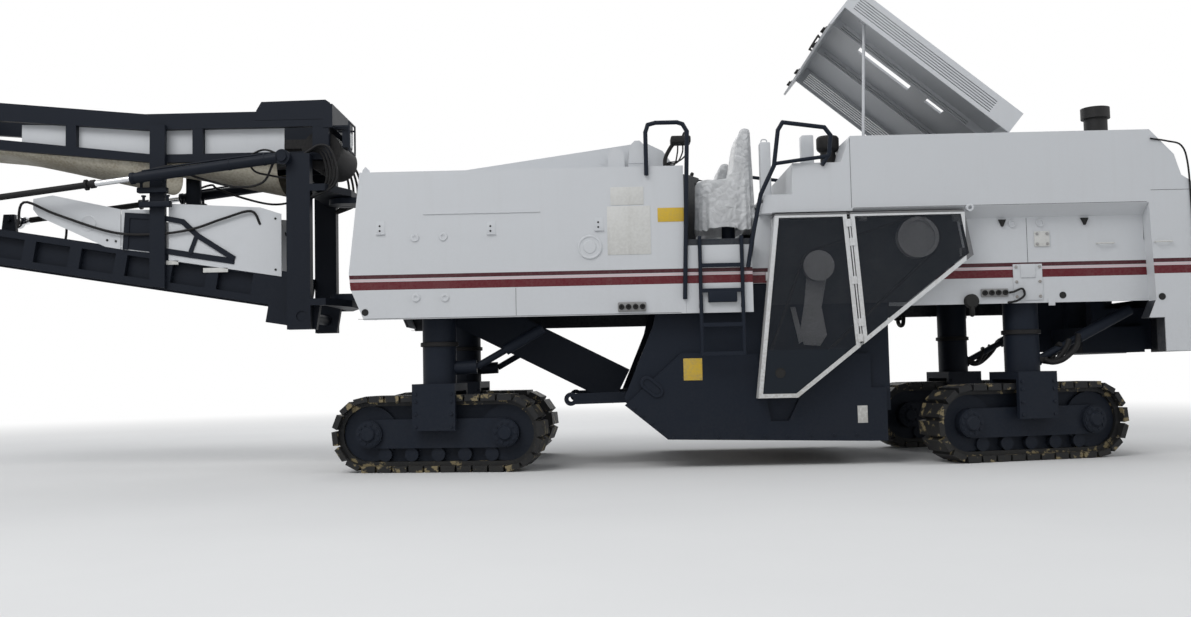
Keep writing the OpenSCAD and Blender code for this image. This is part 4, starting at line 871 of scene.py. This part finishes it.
def draped_film(side_y, turn_by, rows=46, around=180):
    """Film over a seat: from the middle outwards it follows the seat's top, z = top(x), and past the seat's
    outline it falls straight down while folds grow as the sine of five, nine and seventeen times the angle,
    times the depth hung."""
    s, v = np.meshgrid(np.linspace(0.01, 2.0, rows), np.linspace(0, 2 * math.pi, around, endpoint=False),
                       indexing="ij")
    c, d = np.cos(v), np.sin(v)
    flat, hung = np.clip(s, 0, 1), np.clip(s - 1, 0, 1)
    x = 0.365 + flat * 0.222 * np.sign(c) * np.abs(c) ** 0.45
    y = flat * 0.235 * np.sign(d) * np.abs(d) ** 0.45
    top = 2.288 + 0.415 / (1 + np.exp((x - 0.285) * 60))
    fold = np.sin(5 * v + turn_by) * 0.5 + np.sin(9 * v + 2 * turn_by) * 0.35
    fold += np.sin(17 * v - turn_by) * 0.25
    crumple = 0.004 * np.sin(41 * x + 5 * y + turn_by) * np.sin(37 * y - 9 * x)
    out = 1 + hung * (0.05 + 0.075 * fold)
    x = 0.365 + (x - 0.365) * out
    y = y * out
    z = top + crumple + 0.004 - hung * (top - 1.885) + hung * 0.018 * fold
    return np.stack([at_drum(np.maximum(x, 0.128)), y + side_y, z], axis=-1)


for side_name, side_y, turn_by in (("left", 0.78, 0.6), ("right", -0.78, 2.1)):
    dust_cover = piece("seat_dust_cover_" + side_name, [(draped_film(side_y, turn_by), True, False)],
                       cover_film, "chassis", smooth=1.4)


# Operator's console
# A folded steel pedestal with a sloping desk: two dark screens, rows of round buttons and short levers.
console_grey = painted("console_grey", (0.030, 0.033, 0.038), (0.16, 0.15, 0.13), reach=5.0, streaks=0.0,
                       gloss=0.45, bump=0.2)
dress(console_grey, "console")
screen_glass = painted("screen_glass", (0.006, 0.008, 0.010), (0.05, 0.05, 0.05), amount=0.15, reach=5.0,
                       streaks=0.0, gloss=0.08, bump=0.01, coat=0.6)
button_red = painted("button_red", (0.42, 0.012, 0.010), (0.2, 0.16, 0.14), amount=0.15, reach=5.0,
                     streaks=0.0)


def on_slope(points, x0, z0, lift, degrees):
    """Points given along, across and off a slope, raised by lift and turned up about the place x0, z0."""
    x, y, z = np.moveaxis(np.asarray(points, float), -1, 0)
    tilt = math.radians(degrees)
    return np.stack([at_drum(x0) + x * math.cos(tilt) - (z + lift) * math.sin(tilt), y,
                     z0 + x * math.sin(tilt) + (z + lift) * math.cos(tilt)], axis=-1)


def on_desk(points):
    """Points on the console's sloping top."""
    return on_slope(points, 0.700, 2.430, 0.04, 20)


screens = [on_desk(rounded((-0.175, y - 0.10, -0.003), (-0.045, y + 0.10, 0.020), 0.008))
           for y in (0.20, -0.20)]
piece("console_screens", screens, screen_glass, "chassis")
button = turned([(0.011, -0.001), (0.011, 0.004), (0.009, 0.008), (0.0005, 0.0085)], 16)
lever = turned([(0.016, -0.001), (0.013, 0.012), (0.005, 0.016), (0.005, 0.055), (0.014, 0.064),
                (0.017, 0.080), (0.013, 0.094), (0.0005, 0.098)], 20)
stop_button = turned([(0.020, -0.001), (0.020, 0.014), (0.026, 0.018), (0.026, 0.030), (0.018, 0.036),
                      (0.0005, 0.037)], 24)
buttons = [on_desk(button + (-0.205, y, 0)) for y in np.arange(-0.31, 0.32, 0.0445)]
piece("console_buttons", buttons, bolt_steel, "chassis")
levers = [on_desk(lever + (-0.11, y, 0)) for y in (-0.055, 0.0, 0.055)]
piece("console_levers", levers, hole_black, "chassis")
piece("console_stop", [on_desk(stop_button + (-0.045, 0.0, 0))], button_red, "chassis")
stand_parts = []
for y in (1.00, -1.00):
    stand_parts += [bent(in_plane(y, (0.845, 2.370), (0.845, 2.47), (0.80, 2.56), (0.765, 2.60)), 0.016),
                    block(0.64, 0.80, y - 0.07, y + 0.07, 2.585, 2.645, 0.014),
                    bent(in_plane(y, (0.70, 2.64), (0.688, 2.675), (0.665, 2.685)), 0.010),
                    block(0.815, 0.875, y - 0.045, y + 0.045, 2.368, 2.382, 0.004)]
    stand_parts += [bent(in_plane(0.985 * y, (0.66 + 0.04 * k, 2.590), (0.665 + 0.04 * k, 2.52),
                                  (0.73 + 0.02 * k, 2.455 - 0.015 * k), (0.82, 2.44 - 0.01 * k))
                         + [(0.845, 0.99 * y, 2.400)], 0.006) for k in range(3)]
piece("side_controls", stand_parts, hole_black, "chassis")


# Conveyor canopy
# Two thin cream shells, stained brown by road tar, shield the belt under the folded upper conveyor.
canopy_cream = painted("canopy_cream", (0.54, 0.515, 0.43), (0.20, 0.14, 0.075), amount=0.75, reach=7.0,
                       streaks=0.22, gloss=0.45, bump=0.15)


def half_pipe(x, edge, low, half_y=0.345, thick=0.004, steps=25):
    """A shell along X whose section is half of an ellipse between y = -half_y and half_y: its edges lie at
    height edge(x) and its lowest line at low(x). The section runs out along the outer face and back along the
    inner one."""
    a = np.linspace(0, math.pi, steps)
    outer = np.stack([np.cos(a) * half_y, np.sin(a)], axis=1)
    inner = np.stack([np.cos(a[::-1]) * (half_y - thick), np.sin(a[::-1])], axis=1)
    ring = np.vstack([outer, inner])
    inside = np.concatenate([np.zeros(steps), np.ones(steps)]) * thick
    drop = (edge - low)[:, None] * ring[None, :, 1] ** 0.8
    z = edge[:, None] - np.maximum(drop - inside[None], 0)
    return np.stack([np.repeat(at_drum(x)[:, None], 2 * steps, 1), np.repeat(ring[None, :, 0], len(x), 0), z],
                    axis=-1)


def chord_foot(x):
    """The underside of the upper boom's lower chord: level up to 5.2 m, then rising 0.25 m over 2.34 m."""
    return 2.652 + np.clip(x - 5.2, 0, None) * 0.25 / 2.34


outer_x, inner_x = np.linspace(5.246, 7.30, 14), np.linspace(4.175, 5.161, 10)
outer_low = np.minimum(2.441 + (outer_x - 5.246) * 0.241, chord_foot(outer_x) - 0.035)
inner_low = 2.392 + (inner_x - 4.175) * 0.2214
piece("conveyor_canopy", [half_pipe(outer_x, chord_foot(outer_x), outer_low),
                          half_pipe(inner_x, chord_foot(inner_x), inner_low)],
      canopy_cream, "upper_conveyor", smooth=1.0)


# Conveyor side covers and their frame
# White sheets run on past the support post; a dark cut-out frame, blank plates, screws and a pressed round
# lie on them.
def pair(outline, thick, face):
    """The same slab on the left and on the right, each with its outer face that far from the middle."""
    return [slab(outline, *sorted((sign * face, sign * (face - thick)))) for sign in (1, -1)]


cover_rear = [(6.261, 2.265), (6.261, 2.357), (6.094, 2.384), (5.505, 2.250), (5.505, 1.905), (5.638, 1.930),
              (6.216, 2.205)]
cover_mid = [(5.499, 2.249), (5.245, 2.240), (5.245, 1.870), (5.499, 1.903)]
boom_tilt = math.radians(9.65)
boom_turn = np.array([[math.cos(boom_tilt), math.sin(boom_tilt)],
                      [-math.sin(boom_tilt), math.cos(boom_tilt)]])
boom_side = np.array([[0.30, 0.05], [3.50, 0.05], [3.50, 0.345], [0.30, 0.345]]) @ boom_turn + (3.92, 1.29)
upper_ends = [(4.11, 2.700), (4.455, 2.700), (4.455, 2.958), (4.11, 2.945)]
piece("upper_cover_ends", pair(upper_ends, 0.004, 0.3325), body_white, "upper_conveyor")
piece("boom_side_sheets", pair(boom_side, 0.005, 0.3425), boom_ink, "lower_conveyor")
cover_round = [(0.070, -0.001), (0.070, 0.004), (0.062, 0.007), (0.056, 0.003), (0.0005, 0.003)]
cover_face, cover_thick = 0.405, 0.006
cover_sheets = pair(cover_rear, cover_thick, cover_face) + pair(cover_mid, cover_thick, cover_face)
cover_sheets += [boss(cover_round, (5.783, sign * cover_face, 2.137), way, 40) for sign, way in both_sides]
piece("cover_sheets", cover_sheets, body_white, "lower_conveyor")


def ribbon(route, wide, y0, y1):
    """A flat bar along a broken line in X and Z: at each corner both edges are moved out along the mitre,
    half the width over the cosine of half the bend, and the outline runs up one edge and back down the
    other."""
    p = np.array(route, float)
    way = np.diff(p, axis=0)
    way /= np.linalg.norm(way, axis=1)[:, None]
    square = np.stack([-way[:, 1], way[:, 0]], axis=1)
    middle = square[:-1] + square[1:]
    middle /= (1 + (square[:-1] * square[1:]).sum(axis=1))[:, None]
    off = np.vstack([square[:1], middle, square[-1:]]) * wide / 2
    return slab(np.vstack([p + off, (p - off)[::-1]]), y0, y1)


frame_bend = [(5.46, 1.90), (5.442, 2.195), (5.178, 2.175), (4.965, 2.130), (4.837, 2.006), (4.522, 1.800)]
frame_corner = [(5.455, 1.905), (5.440, 2.190), (5.200, 2.172), (5.200, 1.870)]
frame_bars = []
for y0 in (0.4002, -0.4192):
    frame_bars += [ribbon(frame_bend, 0.045, y0, y0 + 0.019),
                   ribbon([(5.178, 2.165), (5.178, 1.88)], 0.04, y0 + 0.0005, y0 + 0.018),
                   ribbon([(4.845, 2.01), (4.905, 1.85)], 0.035, y0 + 0.0005, y0 + 0.018),
                   slab(frame_corner, y0 + 0.001, y0 + 0.010),
                   ribbon([(5.20, 1.895), (4.90, 1.842), (4.522, 1.778)], 0.050, y0 + 0.001, y0 + 0.012)]
piece("cover_frames", frame_bars, boom_ink, "lower_conveyor")
head_plate = [(4.345, 3.000), (4.335, 3.085), (4.290, 3.160), (3.735, 3.168), (3.695, 3.140), (3.695, 3.000)]
piece("head_plates", pair(head_plate, 0.008, 0.3975), boom_ink, "upper_conveyor")
cover_plates = [block(x0, x1, sign * 0.4000, sign * 0.4060, z0, z1, 0.001) for sign in (1, -1)
                for x0, x1, z0, z1 in ((5.007, 5.144, 1.762, 1.798), (4.581, 4.794, 1.688, 1.727))]
piece("boom_plates", cover_plates, plate_white, "lower_conveyor")
screw = [(0.010, -0.001), (0.010, 0.004), (0.0005, 0.004)]
screw_rows = ((cover_face + 0.001, ((4.60, 1.78), (4.54, 1.765), (4.17, 1.70), (5.06, 1.86), (4.17, 2.14))),
              (cover_face, ((5.62, 1.985), (5.545, 1.975))))
cover_screws = [boss(screw, (x, sign * y, z), way, 12)
                for y, places in screw_rows for sign, way in both_sides for x, z in places]
piece("cover_screws", cover_screws, hole_black, "lower_conveyor")


# Support post clamps and cylinder fittings
# Bolted clamp blocks hold the folded conveyor to its post; the cylinders carry collars and sleeves.
clamp_bolt = [(0.012, 0), (0.012, 0.070), (0.020, 0.072), (0.020, 0.085), (0.0005, 0.085)]
clamps = []
for sign in (1, -1):
    for x0, x1, z0, z1 in ((5.075, 5.330, 2.375, 2.420), (5.045, 5.310, 2.252, 2.300)):
        clamps.append(block(x0, x1, sign * 0.440, sign * 0.500, z0, z1, 0.006))
        clamps += [boss(clamp_bolt, (x, sign * 0.470, z1 - 0.03), "z", 12) for x in (x0 + 0.03, x1 - 0.03)]
piece("post_clamps", clamps, boom_ink, "lower_conveyor")


def along_lift(s, y, up=0.0):
    """A point s metres along the lift cylinder from its barrel's pin, at y, raised square to it by up."""
    d = np.array([2.84, -0.34]) / math.hypot(2.84, 0.34)
    return (4.060 + s * d[0] - up * d[1], y, 2.640 + s * d[1] + up * d[0])


barrel_fittings, rod_fittings = [], []
for y in (0.56, -0.56):
    for stations, r, parts, sides in (((1.272, 1.286, 1.300), 0.051, barrel_fittings, 32),
                                      ((0.150, 0.1575, 0.165), 0.049, barrel_fittings, 32),
                                      ((0.45, 0.4575, 0.465), 0.049, barrel_fittings, 32),
                                      ((1.605, 1.625, 1.645), 0.036, rod_fittings, 32),
                                      ((1.635, 2.2, 2.738), 0.0268, rod_fittings, 24),
                                      ((1.67, 1.68, 1.69), 0.046, rod_fittings, 32)):
        parts.append(bent([along_lift(s, y) for s in stations], r, sides))
    pipe = [along_lift(s, y, up) for s, up in ((1.20, 0.052), (0.7, 0.056), (0.16, 0.052))]
    barrel_fittings.append(bent(pipe, 0.008))
piece("barrel_fittings", barrel_fittings, boom_ink, "lift_barrels")
hose_black = painted("hose_black", (0.008, 0.008, 0.009), (0.07, 0.065, 0.06), amount=0.15, reach=5.0,
                     streaks=0.0, gloss=0.5, bump=0.2, mirror=0.2)
piece("rod_sleeves", rod_fittings, hose_black, "lift_rods")


# Held hoses of the conveyor
# Black hydraulic hoses, tied at both ends, that hang between the boom, its cylinders and the yoke.
boom_hoses = [bent(in_plane(y, (6.38, 2.11), (6.33, 2.325), (6.05, 2.215), (5.566, 2.050), (5.20, 2.025),
                            (4.887, 2.060), (4.60, 2.150), (4.370, 2.205)) + [(4.300, end_y, 2.09)], 0.011)
              for y, end_y in ((0.43, 0.402), (-0.43, -0.402))]
piece("boom_hoses", boom_hoses, hose_black, "lower_conveyor")
barrel_hoses = [bent([along_lift(1.24, outer, 0.04),
                      *in_plane(y, (5.05, 2.60), (4.98, 2.565), (4.75, 2.475), (4.463, 2.405), (4.25, 2.44)),
                      along_lift(0.09, outer, -0.04)], 0.010)
                for y, outer in ((0.50, 0.555), (-0.50, -0.555))]
piece("barrel_hoses", barrel_hoses, hose_black, "lift_barrels")
yoke_loop = ((4.035, 0.470, 2.60), (4.12, 0.472, 2.68), (4.25, 0.474, 2.725), (4.37, 0.474, 2.66),
             (4.33, 0.473, 2.545), (4.18, 0.472, 2.50), (4.03, 0.470, 2.475))
yoke_hoses = []
for sign in (1, -1):
    yoke_hoses += [bent(in_plane(sign * (0.425 + 0.022 * k), (3.90, 2.676),
                                 (3.86 - 0.03 * k, 2.715 + 0.012 * k), (3.76 - 0.03 * k, 2.68 + 0.01 * k),
                                 (3.72 - 0.035 * k, 2.50), (3.76 - 0.03 * k, 2.38), (3.86, 2.30)), 0.011)
                   for k in range(4)]
    yoke_hoses.append(bent([(x, sign * y, z) for x, y, z in yoke_loop], 0.009))
piece("yoke_hoses", yoke_hoses, hose_black, "slew_yoke")


# Work lamp
# A square lamp with a pressed reflector behind clear ribbed glass.
lamp_glass, glass_tree, glass_shader = finish("lamp_glass", 0.08)
glass_place = node(glass_tree, "TexCoord", (-800, 0))
glass_ribs = node(glass_tree, "TexWave", (-600, 0), bands_direction="Y", Scale=40.0)
wire(glass_tree, glass_place, "Object", glass_ribs, "Vector")
bumped(glass_tree, (glass_ribs, "Fac"), glass_shader, 0.5, 0.002, (-300, 0))
glass_shader.inputs["Base Color"].default_value = (0.80, 0.84, 0.86, 1)
glass_shader.inputs["Transmission Weight"].default_value = 0.5
piece("work_lamp_glass", [block(3.546, 3.556, 0.190, 0.322, 2.770, 2.902, 0.004)], lamp_glass,
      "upper_conveyor")


# Engine deck
# An intake duct, a filler post and a battery box stand on the low deck; hoses run inside the engine bay.
# Dark sheets low down on the far side and at the rear are painted shade under the body.
duct = [(0.062, 0.0), (0.062, 0.10), (0.085, 0.12), (0.092, 0.135), (0.092, 0.215), (0.080, 0.232),
        (0.0005, 0.238)]
piece("intake_duct", [block(-0.595, -0.400, 0.71, 0.91, 2.371, 2.43, 0.02),
                      boss(duct, (-0.503, 0.81, 2.425), "z", 40)],
      stack_black, "chassis")
filler_grip = in_plane(0.98, (0.02, 2.58), (0.025, 2.607), (0.045, 2.613), (0.065, 2.607), (0.07, 2.58))
piece("filler_post", [block(0.0, 0.084, 0.93, 1.03, 2.118, 2.585, 0.012), bent(filler_grip, 0.005),
                      block(-0.344, -0.246, 0.95, 1.05, 2.370, 2.629, 0.010)], body_white, "chassis")
cross_bars = [bent(in_plane(y, (-0.428, 2.432), (-0.40, 2.418), (-0.20, 2.394), (0.005, 2.368)), 0.015)
              for y in (1.232, -1.232)]
piece("rail_cross_bars", cross_bars, chassis_ink, "chassis")
corner_hose = in_plane(1.217, (-2.949, 2.505), (-3.08, 2.482), (-3.189, 2.444), (-3.232, 2.30),
                       (-3.245, 1.95), (-3.253, 1.547))
piece("corner_hose", [bent(corner_hose, 0.007)], hose_black, "chassis")
bay_routes = (
    (0.045, ((-1.44, -0.10, 2.19), (-1.60, 0.02, 2.32), (-1.95, 0.10, 2.33), (-2.30, 0.10, 2.24),
             (-2.555, 0.10, 2.20))),
    (0.035, ((-1.38, -0.30, 1.80), (-1.70, -0.34, 1.78), (-2.10, -0.36, 1.86), (-2.555, -0.36, 1.90))),
    (0.035, ((-1.38, 0.36, 2.00), (-1.65, 0.42, 2.06), (-2.10, 0.42, 2.22), (-2.555, 0.42, 2.30))))
bay_hoses = [bent(route, radius, 20) for radius, route in bay_routes]
bay_hoses += [bent([(-1.30 + 0.04 * k, -0.60 + 0.215 * k, 2.185),
                    (-1.24, -0.60 + 0.215 * k, 2.235 + 0.006 * k), (-1.10, -0.56 + 0.215 * k, 2.225),
                    (-1.04, -0.55 + 0.215 * k, 2.12)], 0.011) for k in range(5)]
piece("engine_hoses", bay_hoses, hose_black, "chassis")
# Painted shade: these dark sheets stand in for the shade under the rear body.
far_shade_sheet = [(-3.345, 0.862), (-3.345, 1.400), (-2.330, 1.400), (-2.330, 0.862)]
piece("far_shade_sheet", [slab(far_shade_sheet, -0.470, -0.462)], chassis_ink, "chassis", smooth=0)
rear_shade_wall = [(-3.345, 0.862), (-3.345, 1.220), (-2.900, 1.220), (-2.900, 0.862)]
piece("rear_shade_walls", pair(rear_shade_wall, 0.008, 0.270), chassis_ink, "chassis", smooth=0)


# Hood trim
# Latches and a grab bar on the front flange; the two top openings stay open.
def on_hood(points):
    """Points given along, across and up from the hood's rim, at its parked angle about its hinge."""
    return on_slope(points, -1.872, 2.592, 0.0, 39.4)


hood_latches = []
for y in (-0.86, -0.43, 0.43, 0.86):
    hood_latches += [on_hood(rounded((1.650, y - 0.035, -0.165), (1.668, y + 0.035, -0.115), 0.006)),
                     on_hood(rounded((1.666, y - 0.012, -0.175), (1.682, y + 0.012, -0.125), 0.005))]
grab = [(x, y, 0.02) for x, y in ((1.652, -0.20), (1.690, -0.20), (1.697, -0.185), (1.697, 0.185),
                                  (1.690, 0.20), (1.652, 0.20))]
hood_latches.append(on_hood(bent(grab, 0.009, ref=(0, 0, 1.0), start=0.0)))
piece("hood_latches", hood_latches, hole_black, "hood")


# Track wheel hubs and column fittings
# Each final drive has a flanged cover with a ring of bolts; hoses loop from the strut to the column.
def on_track(points, x, y, steer):
    """Points given about a leg's axis, turned by the track's steering angle and moved to the leg."""
    a = math.radians(steer)
    px, py, pz = np.moveaxis(points, -1, 0)
    return np.stack([px * math.cos(a) - py * math.sin(a) + at_drum(x),
                     px * math.sin(a) + py * math.cos(a) + y, pz], axis=-1)


hub_cover = [(0.100, -0.004), (0.100, 0.006), (0.060, 0.010), (0.055, 0.024), (0.048, 0.030), (0.0005, 0.031)]
collar = [(0.137, 0.0), (0.152, 0.004), (0.152, 0.034), (0.137, 0.038)]
wheel_x, wheel_z, web_r, bolt_circle = 0.56, 0.305, 0.230, 0.080
wheel_side, hub_side, fork_side = 0.130, 0.1355, 0.194        # outer faces, from the track's middle
web = np.linspace(-math.pi / 2, math.pi / 2, 13)
web = np.stack([wheel_x + web_r * np.cos(web), wheel_z + web_r * np.sin(web)], axis=1)
hub_parts = []
for sign, way in both_sides:
    for hub_x in (-wheel_x, wheel_x):
        hub_parts.append(boss(hub_cover, (hub_x, sign * wheel_side, wheel_z), way, 40, 0.0))
        for t in np.linspace(0, 2 * math.pi, 10, endpoint=False):
            bolt_at = (hub_x + bolt_circle * math.cos(t), sign * hub_side,
                       wheel_z + bolt_circle * math.sin(t))
            hub_parts.append(boss(bolt, bolt_at, way, 6, 0.0))
    hub_parts += [boss(bolt, (bolt_x, sign * fork_side, bolt_z), way, 6, 0.0)
                  for bolt_x in (-0.145, 0.145) for bolt_z in (0.36, 0.46, 0.56, 0.62)]
hub_parts.append(slab(np.vstack([web, (-1, 1) * web[::-1]]), -0.030, 0.030, 0.0))
for leg, x, y, steer in zip(legs, (2.70, 2.70, -1.99, -1.99), (0.9, -0.9, 0.9, -0.9), (-8, -8, 15, 15)):
    piece("hub_covers_" + leg, [on_track(points, x, y, steer) for points in hub_parts], chassis_ink,
          "crawler_" + leg)
    column_parts = [(boss(collar, (x, y, 0.995), "z", 48), True, False)]
    if x < 0:
        out = math.copysign(1, y)
        column_parts.append(block(x - 0.185, x - 0.110, y - 0.06, y + 0.06, 0.772, 0.812, 0.006))
        for k in range(3):
            off = y + out * (0.045 * k - 0.040)
            column_parts.append(bent([
                (x - 0.155, off, 0.795), (x - 0.205 - 0.008 * k, off, 0.776 - 0.004 * k),
                (x - 0.245 - 0.030 * k, off + out * 0.03, 0.805 - 0.006 * k),
                (x - 0.285 - 0.060 * k, off + out * 0.03, 0.885),
                (x - 0.300 - 0.075 * k, y + out * 0.028, 0.915 + 0.034 * k)], 0.021))
    piece("column_hoses_" + leg, column_parts, hose_black, "leg_" + leg)
